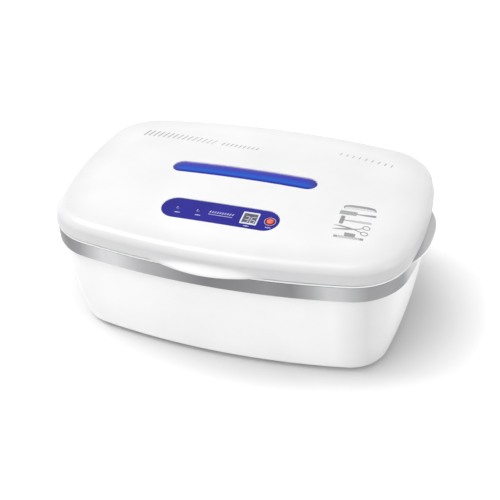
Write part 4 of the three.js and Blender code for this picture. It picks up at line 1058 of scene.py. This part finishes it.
# %% Inks and the crown under them
# Pad print dries matt, so it shows on the gloss of the lid also where its grey is pale.
grey_ink = tone_patches("grey_pad_print", ("#98989c", "#a4a4a8"), (0.45, 0.55), 12, 0.6, 0.004)
pale_ink = tone_patches("pale_pad_print", ("#c6c6c9", "#cfcfd2"), (0.45, 0.55), 12, 0.6, 0.004)
white_ink_and_highlights = tone_patches("white_print_and_highlights", ("#c9c6ea", "#d6d4f0"), (0.4, 0.5), 6, 0.6, 0.004)
on_panel = lambda x, y: crown_height(x, y) - PANEL_DEPTH


def loop(centre, reach, width, part=(0.0, 2 * np.pi)):
    """An ellipse, or a part of one, as a strip of even width."""
    return arc(centre, reach, *part, 36), width


def strokes(count, x, low, high, lean, width):
    """A row of upright strokes leaned over by lean. Place, foot, head and width each run evenly between the
    two values of a pair."""
    runs = [np.linspace(*pair, count) for pair in (x, low, high, width)]
    return [([(x, a), (x + lean / 2, (a + b) / 2), (x + lean, b)], w) for x, a, b, w in zip(*runs)]


print("inks ready")

# %% Tool figures
comb = [([(101.8, -22.0), (103.4, -20.6), (108, -19.2), (116, -18.0), (123, -17.3), (128.6, -17.5),
          (130.8, -19.4)], [1.2, 2.4, 3.3, 3.4, 3.3, 3.0, 1.2]),
        ([(102.3, -21.4), (102.8, -24.8)], 1.1), ([(130.5, -18.8), (131.0, -21.4)], 1.0)]
comb_teeth = strokes(20, (104.2, 129.6), (-24.7, -21.6), (-20.4, -18.6), 0, (0.65, 0.65))
brush = [([(115.4, -30.1), (118, -29.9), (124, -29.1), (131, -27.9), (132.7, -27.6)],
          [1.3, 1.6, 2.4, 3.1, 2.4])]
brush += [([(100.3, y), (107.8, y + 0.75), (115.4, y + 1.6)], 0.85) for y in (-33.9, -32.3, -30.6, -29.0)]
brush += strokes(13, (100.6, 115.2), (-34.3, -32.6), (-28.7, -27.2), 0, (0.7, 0.7))
razor = [([(104.6, -36.2), (104.6, -37.4), (104.7, -42.3), (104.7, -47.3), (104.7, -48.5)],
          [2.4, 3.8, 3.8, 3.8, 2.4]), ([(106.4, -42.4), (110.6, -42.0)], 1.2)]
razor_grip = [([(110.2, -42.0), (112, -41.8), (121, -40.8), (130, -39.7), (131, -39.6)],
               [1.4, 2.9, 3.2, 3.2, 2.0])]
scissors = [([(99.6, -51.9), (105.6, -51.6), (112, -52.2), (118.2, -53.1)], [0.6, 1.6, 2.0, 1.6]),
            ([(99.5, -57.2), (105, -56.0), (110, -54.9), (118.2, -52.6)], [0.6, 1.7, 2.1, 1.6]),
            ([(117.5, -52.9), (120.6, -51.8), (125.2, -49.2)], [1.3, 1.1, 1.0]),
            ([(117.5, -52.9), (121.1, -53.9), (125.0, -55.2)], [1.3, 1.1, 1.0]),
            loop((128.1, -47.5), (3.1, 2.6), 1.0), loop((127.9, -56.2), (3.1, 2.5), 1.0)]
nail_brush = [([(116.0, -59.2), (116.3, -64.0)], 9.6), ([(102.7, -66.5), (129.0, -64.3)], 2.5)]
nail_brush += strokes(21, (103.4, 128.4), (-68.2, -66.0), (-65.0, -62.8), 0, (0.65, 0.65))
figures = comb + brush + razor + scissors + nail_brush
dress(strips("tool_figures", figures, grey_ink, crown_height), "lid", "panel_violet")
pale = comb_teeth + razor_grip
dress(strips("tool_figures_pale", pale, pale_ink, crown_height, thick=0.035), "lid", "panel_violet")
print("tool figures:", len(figures) + len(pale), "strips")

# %% Strokes on the lid
rows = strokes(15, (-129, -53), (57.5, 51.0), (68.5, 60.5), 3.4, (1.5, 0.7))
rows += strokes(9, (-42, -6), (51.5, 50.5), (57.6, 55.6), 1.8, (1.0, 1.0))
rows += strokes(9, (76, 128), (66.0, 59.0), (70.6, 63.6), 1.2, (0.8, 0.8))
dress(strips("lid_strokes", rows, grey_ink, crown_height), "lid", "panel_violet")
print("lid strokes:", len(rows))

# %% Signs and painted highlights on the panel
button_at = (PANEL["x"] + BUTTON["x"], -62.7)
signs_and_highlights = [loop(button_at, (5.15, 5.15), 0.42)]
for x, y in ((-43.3, -68.8), (-23.4, -68.8), (24.2, -73.2), (43.8, -70.8)):
    signs_and_highlights.append(([(x - 2.6, y), (x - 0.9, y)], 0.7))
    signs_and_highlights += [loop((x, y), (0.62, 0.62), 0.4), ([(x + 0.9, y), (x + 2.6, y)], 0.7)]
signs_and_highlights += strokes(10, (-13.8, 7.8), (-63.2, -63.2), (-60.6, -60.6), 0.9, (0.85, 0.85))
signs_and_highlights += [([(-14.2, -65.4), (8.6, -65.4)], 0.55)]
# Painted highlights: a white crescent at the left of each lamp, where its dome catches the light.
signs_and_highlights += [loop((PANEL["x"] + x - 0.1, -62.7), (1.75, 1.75), 0.4, (2.0, 4.2)) for x in LEDS.values()]
dress(strips("panel_signs_and_highlights", signs_and_highlights, white_ink_and_highlights, on_panel), "lid", "display_white")
print("panel signs:", len(signs_and_highlights))

# %% [markdown]
# ## The tool tray
#
# Inside stands a loose tray of satin polypropylene. Its rim is bent outwards and pulled in at both ends,
# where two fingers reach under it, and long slots let the light through to the underside of the tools. It is
# one more stack of rings. Each finger bay is an ear that reaches inwards, and the slots are cut all together.

# %% Tray
tray_plastic = tone_patches("satin_tray_polypropylene", ("#c8cacd", "#d0d2d5"), (0.38, 0.5), 40, 1.4, 0.02,
                            IOR=1.49)
TRAY = {"floor": 34.3, "rim": 60.0, "wall": 1.5, "corner": 5.0, "lip": 3.5, "gap": 1.7}
BAY = {"half": 44.0, "reach": -12.0, "y": 0.0}
PAD_PLACES = [(-75, 0), (75, 0), (0, -63), (0, 63)]
SLOTS = {"columns": 5, "rows": 7, "length": 36.0, "width": 6.0, "pitch": (50.0, 18.0)}


def gather(name, pieces, finish=None):
    """Several closed skins as one piece."""
    points = [points_of(piece) / MM for piece in pieces]
    starts = np.cumsum([0] + [len(p) for p in points])
    faces = [[start + k for k in face.vertices]
             for piece, start in zip(pieces, starts) for face in piece.data.polygons]
    for piece in pieces:
        bpy.data.objects.remove(piece)
    return keep(name, np.concatenate(points), faces, finish)


def tray_skin():
    """Floor, outer fillet, wall, the lip with its half-round edge, then the inner wall, fillet and floor."""
    wall, corner, lip, rim, low = TRAY["wall"], TRAY["corner"], TRAY["lip"], TRAY["rim"], TRAY["floor"]
    foot, head = chamber_inset(low) + TRAY["gap"], chamber_inset(rim) + TRAY["gap"]
    centre, inner = (foot + lip + corner, low + corner), corner - wall
    profile = [
        [(foot + 12.5, low)],
        arc(centre, -corner, QUARTER, 0, 8),
        [(head + lip, rim - wall), (head + 1.0, rim - wall)],
        arc((head + wall / 2, rim - wall / 2), (-wall / 2, wall / 2), -QUARTER, QUARTER, 8),
        [(head + lip + wall - far, rim - drop) for far, drop in ((1.0, 0.0), (0.3, 0.2), (0.0, 0.9))],
        arc(centre, -inner, 0, QUARTER, 8),
        [(foot + 12.5, low + wall)],
    ]
    rings = levels(np.concatenate(profile), partial(ring, ear=1.0, end=BAY))
    return skin("tool_tray_skin", rings, tray_plastic, [[0, 0, low], [0, 0, low + wall]])


columns, ranks = [np.arange(SLOTS[k]) - (SLOTS[k] - 1) / 2 for k in ("columns", "rows")]
centres = [(x * SLOTS["pitch"][0], y * SLOTS["pitch"][1]) for x in columns for y in ranks]
slots = gather("slots", [
    prism("slot", capsule(SLOTS["length"], SLOTS["width"], centre, 9), TRAY["floor"] - 2, TRAY["floor"] + 4)
    for centre in centres])
tray = cut(tray_skin(), slots)
dress(tray, "tool_tray", "tray_grey", "tool_tray")
pad = [[0, 27], [5, 27], [5, 33.6], [4.6, 34], [0, 34]]
for number, (x, y) in enumerate(PAD_PLACES, 1):
    dress(turned(f"tray_pad_{number}", pad, [x, y, 0], lining_abs, sides=32), "base", "lining_white")
print("tray:", len(tray.data.polygons), "faces,", len(centres), "slots,", len(PAD_PLACES), "pads")

# %% [markdown]
# ## Inside the lid
#
# A liner closes the lid from below. Its long opening shows the tube, which lies in a folded reflector of
# bright rolled aluminium behind a welded steel guard. A silicone seal runs round the liner's edge.

# %% Finishes inside
def rolled_metal(name, code, rough, pitch_mm, stretch):
    """Bare metal whose gloss drifts in lines along X, as the rolls left them."""
    made, tree, shader, place = material(name, code, rough[0], Metallic=1.0)
    drawn = add(tree, "Mapping", {"Vector": place, "Scale": (stretch, 1.0, 1.0)})
    lines = add(tree, "TexNoise", {"Vector": drawn.outputs[0], "Scale": 1 / (pitch_mm * MM), "Detail": 3.0})
    drift = add(tree, "MapRange", {"Value": lines.outputs["Fac"], "To Min": rough[0], "To Max": rough[1]})
    tree.links.new(drift.outputs["Result"], shader.inputs["Roughness"])
    bump = add(tree, "Bump", {"Height": lines.outputs["Fac"], "Distance": 0.005 * MM, "Strength": 0.5})
    tree.links.new(bump.outputs["Normal"], shader.inputs["Normal"])
    return made


# Zinc plating breaks its shine into short lines, rolled aluminium is nearly a mirror, and quartz is clear.
steel = rolled_metal("zinc_plated_steel", "#b9bcc0", (0.28, 0.42), 2.0, 0.6)
bright_aluminium = rolled_metal("bright_rolled_aluminium", "#d9dbdd", (0.12, 0.22), 0.8, 0.03)
quartz = tone_patches("clear_quartz", ("#f2f6ff", "#f8faff"), (0.02, 0.05), 20, 6, 0.004, IOR=1.46,
                      Transmission_Weight=1.0)
# Rubber is dull and nearly black, silicone milky, the board's resist a thin gloss, the spark-textured ABS
# satin, and the sheath and the sockets two smooth whites. Each row is a name, two tones, two roughnesses,
# patch, grain and depth in millimetres, and the index of refraction.
INSIDE = [
    ("moulded_rubber", ("#343434", "#404040"), (0.7, 0.85), 6, 0.8, 0.03, 1.52),
    ("grey_silicone", ("#a4a6a8", "#b0b2b4"), (0.45, 0.6), 20, 1.0, 0.02, 1.41),
    ("green_solder_resist", ("#2a6a44", "#317550"), (0.25, 0.4), 5, 0.7, 0.02, 1.5),
    ("spark_textured_black_abs", ("#262628", "#2e2e31"), (0.5, 0.65), 8, 0.6, 0.04, 1.54),
    ("white_pvc_sheath", ("#e2e2e6", "#ececf0"), (0.35, 0.5), 12, 1.0, 0.02, 1.53),
    ("white_socket_polycarbonate", ("#e4e4ea", "#ededf2"), (0.3, 0.42), 10, 1.0, 0.02, 1.58),
]
rubber, silicone, board_green, black_plastic, white_pvc, socket_white = [
    tone_patches(*finish, IOR=bends) for *finish, bends in INSIDE]
print("finishes inside ready")

# %% Liner, seal and pins
def liner_skin():
    """A plate with softened edges over the outline."""
    low, high, edge = liner_low[2], liner_high[2], 0.4
    inset = HALF_LENGTH - liner_high[0]
    rise = [(edge, low), (edge * 0.3, low + edge * 0.3), (0, low + edge)]
    fall = [(away, low + high - z) for away, z in rise[::-1]]
    return skin("lid_liner_skin", levels([(inset + away, z) for away, z in rise + fall]), lining_abs,
                [[0, 0, low], [0, 0, high]])


LAMP_Y, LAMP_Z = WINDOW["y"], 123.6
LAMP_AXIS = [0, LAMP_Y, LAMP_Z]
OPENING = {"length": 288.6, "width": 34.0}
mouth = [rounded(OPENING["length"], OPENING["width"], 2.0, (0, LAMP_Y))]
mouth += [circle(centre, 1.75, 20) for centre in LID_SCREW_PLACES]
mouths = gather("mouths", [prism("mouth", shape, liner_low[2] - 1, liner_high[2] + 1) for shape in mouth])
liner = dress(cut(liner_skin(), mouths, sharp=20), "lid", "lining_white", "lid_liner")


def seal_skin():
    """A flat-backed hoop with two soft lips underneath."""
    section = [(3.4, 116.9), (3.4, 116.2), (3.55, 115.9), (4.1, 115.7), (4.6, 115.95), (4.9, 116.25),
               (5.2, 115.95), (5.7, 115.7), (6.25, 115.9), (6.4, 116.2), (6.4, 116.9)]
    return skin("lid_seal_skin", levels(section[::-1]), silicone)


dress(seal_skin(), "lid", "silicone", "lid_seal")
pin = [[0, -EYE_END], [0.9, -EYE_END], [1.5, 0.5 - EYE_END], [1.5, EYE_END - 0.5], [0.9, EYE_END],
       [0, EYE_END]]
SIDES = ((-1, "left"), (1, "right"))
for side, name in SIDES:
    made = turned("hinge_pin_skin_" + name, pin, [side * HINGE["x"], HINGE["y"], HINGE["z"]], steel, "x", 24)
    dress(made, "base", "steel", "hinge_pin_" + name)
print("liner:", len(liner.data.polygons), "faces, seal and pins in place")

# %% Tube and caps
def toward(side, profile):
    """A profile along +X as it is, or turned over for the other end of the tube."""
    return profile if side > 0 else [[radius, -x] for radius, x in profile[::-1]]


def wire(name, path, radius, across=(1, 0, 0), sides=10):
    """A round bar along a path. At each point a circle stands across the path's direction."""
    path = np.asarray(path, float)
    along = np.gradient(path, axis=0)
    along /= np.linalg.norm(along, axis=1)[:, None]
    side = across - (along @ across)[:, None] * along
    side /= np.linalg.norm(side, axis=1)[:, None]
    other = np.cross(along, side)
    t = np.linspace(0, 2 * np.pi, sides, endpoint=False)[None, :, None]
    rings = path[:, None] + radius * (np.cos(t) * side[:, None] + np.sin(t) * other[:, None])
    return skin(name, rings, None, [path[0], path[-1]])


TUBE = {"half": 132.7, "radius": 7.8, "inner": 6.9, "bevel": 0.2}
FILAMENT = {"x": 119.0, "half": 3.0, "turns": 6, "radius": 0.7, "wire": 0.16, "support": 0.3}
rim, end = TUBE["radius"] - TUBE["bevel"], TUBE["half"]
glass = [[TUBE["inner"], -end], [rim, -end], [TUBE["radius"], 0.3 - end], [TUBE["radius"], end - 0.3],
         [rim, end], [TUBE["inner"], end], [TUBE["inner"], -end]]
tube = turned("lamp_tube", glass, LAMP_AXIS, quartz, "x", 48)
dress(tube, "lid", "lamp_glass", "uv_lamp")
for side, name in SIDES:
    shell = [[0, 133], [7.6, 133], [8, 133.4], [8, 143.4], [7.5, 143.9], [6, 144], [0, 144]]
    pin = [[0, 142.8], [1.2, 142.8], [1.2, 150.3], [0.8, 151], [0, 151]]
    parts = [turned("cap", toward(side, shell), LAMP_AXIS, None, "x", 48)]
    parts += [turned("pin", toward(side, pin), [0, LAMP_Y + offset, LAMP_Z], None, "x", 20)
              for offset in (-3.2, 3.2)]
    dress(cut(parts[0], *parts[1:], way="UNION"), "lid", "aluminium", "lamp_cap_" + name)
    parts[0].data.materials.clear()
    parts[0].data.materials.append(bright_aluminium)
    stem = [[0, 124], [1.6, 124], [2.2, 126.5], [5.2, 132.4], [0, 132.4]]
    holders = [turned("stem", toward(side, stem), LAMP_AXIS, None, "x", 24)]
    reach = np.linspace(124.5, FILAMENT["x"], 6)
    for way in (-1, 1):
        spread = way * (1.4 + (124.5 - reach) * 0.3)
        path = np.stack([side * reach, LAMP_Y + spread, np.full(6, LAMP_Z)], 1)
        holders.append(wire("support", path, FILAMENT["support"], across=(0, 0, 1), sides=8))
    t = np.linspace(0, 2 * np.pi * FILAMENT["turns"], 120)
    coil = np.stack([side * FILAMENT["x"] + FILAMENT["radius"] * np.cos(t),
                     LAMP_Y + FILAMENT["half"] * (2 * t / t[-1] - 1),
                     LAMP_Z + FILAMENT["radius"] * np.sin(t)], 1)
    holders.append(wire("filament", coil, FILAMENT["wire"], across=(1, 0, 0.01), sides=6))
    dress(gather("electrode_" + name, holders, steel), "lid", "steel")
print("tube", 2 * TUBE["half"], "mm long between its caps")

# %% Guard
RAIL = {"half": 151.0, "near": 17.0, "far": 21.5, "low": 115.4, "high": 116.9}
BARS = {"count": 9, "reach": 149.2, "half": 19.0, "low": 114.1, "rise": 1.95, "from": 10.6, "over": 5.6,
        "radius": 0.85}
RODS = {"y": 5.67, "z": 113.9, "radius": 0.68}


def guard_bar(x):
    """One cross bar: flat on the rails, dipping under the tube along half a cosine wave at each side."""
    u = np.linspace(-BARS["half"], BARS["half"], 44)
    share = np.clip((np.abs(u) - BARS["from"]) / BARS["over"], 0, 1)
    z = BARS["low"] + BARS["rise"] * (1 - np.cos(np.pi * share)) / 2
    return wire("bar", np.stack([np.full(44, x), LAMP_Y + u, z], 1), BARS["radius"])


bars = [guard_bar(x) for x in np.linspace(-BARS["reach"], BARS["reach"], BARS["count"])]
for way in (-1, 1):
    middle = LAMP_Y + way * (RAIL["near"] + RAIL["far"]) / 2
    shape = rounded(2 * RAIL["half"], RAIL["far"] - RAIL["near"], 1.2, (0, middle))
    bars.append(prism("rail", shape, RAIL["low"], RAIL["high"]))
    rod = np.stack([np.linspace(-BARS["reach"], BARS["reach"], 12), np.full(12, LAMP_Y + way * RODS["y"]),
                    np.full(12, RODS["z"])], 1)
    bars.append(wire("rod", rod, RODS["radius"], across=(0, 0, 1)))
dress(gather("lamp_guard_wires", bars, steel), "lid", "steel", "lamp_guard")
print("guard:", len(bars), "bars, rods and rails")

# %% [markdown]
# ## Feet, screws and gland
#
# Four rubber feet plug into the floor. The screws are pan heads with a cross recess. Each kind is made once
# and copied as a mesh, so every copy has its place in its points as the frame's nodes have.

# %% Feet and screws
def copied(piece, name, shift):
    """Another piece from the same points, moved by a shift in millimetres."""
    mesh = piece.data.copy()
    mesh.transform(Matrix.Translation((np.array(shift, float) * MM).tolist()))
    return added(name, mesh)


def screw(low, reach):
    """A pan-head screw that points up: domed face, edge, shank and tip, with a cross recess in the face."""
    tip = low + 1.6 + reach
    profile = [[0, low], [1.7, low], [2.4, low + 0.14], [2.85, low + 0.6], [3, low + 1.2], [3, low + 1.6],
               [1.4, low + 1.6], [1.4, tip - 1.4], [0, tip]]
    arm, half_arm = 1.6, 0.36
    corner = [(half_arm, -arm), (half_arm, -half_arm), (arm, -half_arm)]
    turns = [np.array([[np.cos(a), np.sin(a)], [-np.sin(a), np.cos(a)]]) for a in np.arange(4) * QUARTER]
    cross = np.concatenate([np.array(corner) @ turn for turn in turns])
    recess = prism("cross", cross, low - 1, low + 0.9)
    return cut(turned("screw", profile, [0, 0, 0], steel, sides=32), recess)


foot = np.concatenate([[[0, 0.35], [5, 0.35], [5.6, 0]], arc((7.9, 1.1), 1.1, -QUARTER, 0, 5),
                       [[9, 2.7], [2.5, 2.7], [2.5, 5.8], [1.25, 8.3], [0, 8.3]]])
first_foot = turned("foot", foot, [0, 0, 0], rubber, sides=48)
for name, (x, y) in zip(("front_left", "front_right", "rear_left", "rear_right"), FOOT_PLACES):
    dress(copied(first_foot, "rubber_foot_" + name, (x, y, 0)), "base", "rubber", "foot_" + name)
base_screw, lid_screw = screw(4.6, 14.0), screw(115.3, 8.0)
for kind, first, places in (("base", base_screw, BASE_SCREW_PLACES), ("lid", lid_screw, LID_SCREW_PLACES)):
    for number in range(1, len(places) + 1):
        node = f"{kind}_screw_{number}"
        x, y, _ = sum(box_mm(node)) / 2
        dress(copied(first, "cross_" + node, (x, y, 0)), kind, "steel", node)
for first in (first_foot, base_screw, lid_screw):
    bpy.data.objects.remove(first)
print("feet and", len(BASE_SCREW_PLACES) + len(LID_SCREW_PLACES), "screws in place")

# %% Gland and the nodes that stay
def gland_profile():
    """Bore, neck, collar with a rounded rim, and a bush with three shallow grooves."""
    bush = [(3.0, 118.3), (3.0, 118.7), (2.75, 118.8), (2.75, 118.95), (2.93, 119.05), (2.9, 119.3),
            (2.65, 119.4), (2.65, 119.5), (2.78, 119.6), (2.7, 119.85), (2.5, 120.0)]
    return [(2.1, 107.4), (2.7, 107.4), (2.7, 117.2), (3.5, 117.2), (3.7, 117.4), (3.7, 117.9), (3.5, 118.12),
            *bush, (2.1, 120.0), (2.1, 107.4)]


gland = turned("cord_gland_skin", gland_profile(), [0, 0, GLAND_Z], black_plastic, "y", 40)
dress(gland, "lid", "black_plastic", "cord_gland")
staying = {"reflector": bright_aluminium, "lamp_holder_left": socket_white, "lamp_holder_right": socket_white,
           "ballast": black_plastic, "gland_nut": black_plastic, "lamp_lead_left": white_pvc,
           "lamp_lead_right": white_pvc, "panel_lead": white_pvc, "control_board": board_green,
           "tact_switch": black_plastic, "switch_plunger": button_red}
for node, finish in staying.items():
    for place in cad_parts[node].material_slots:
        place.material = finish
print("gland made,", len(staying), "nodes keep their shape")
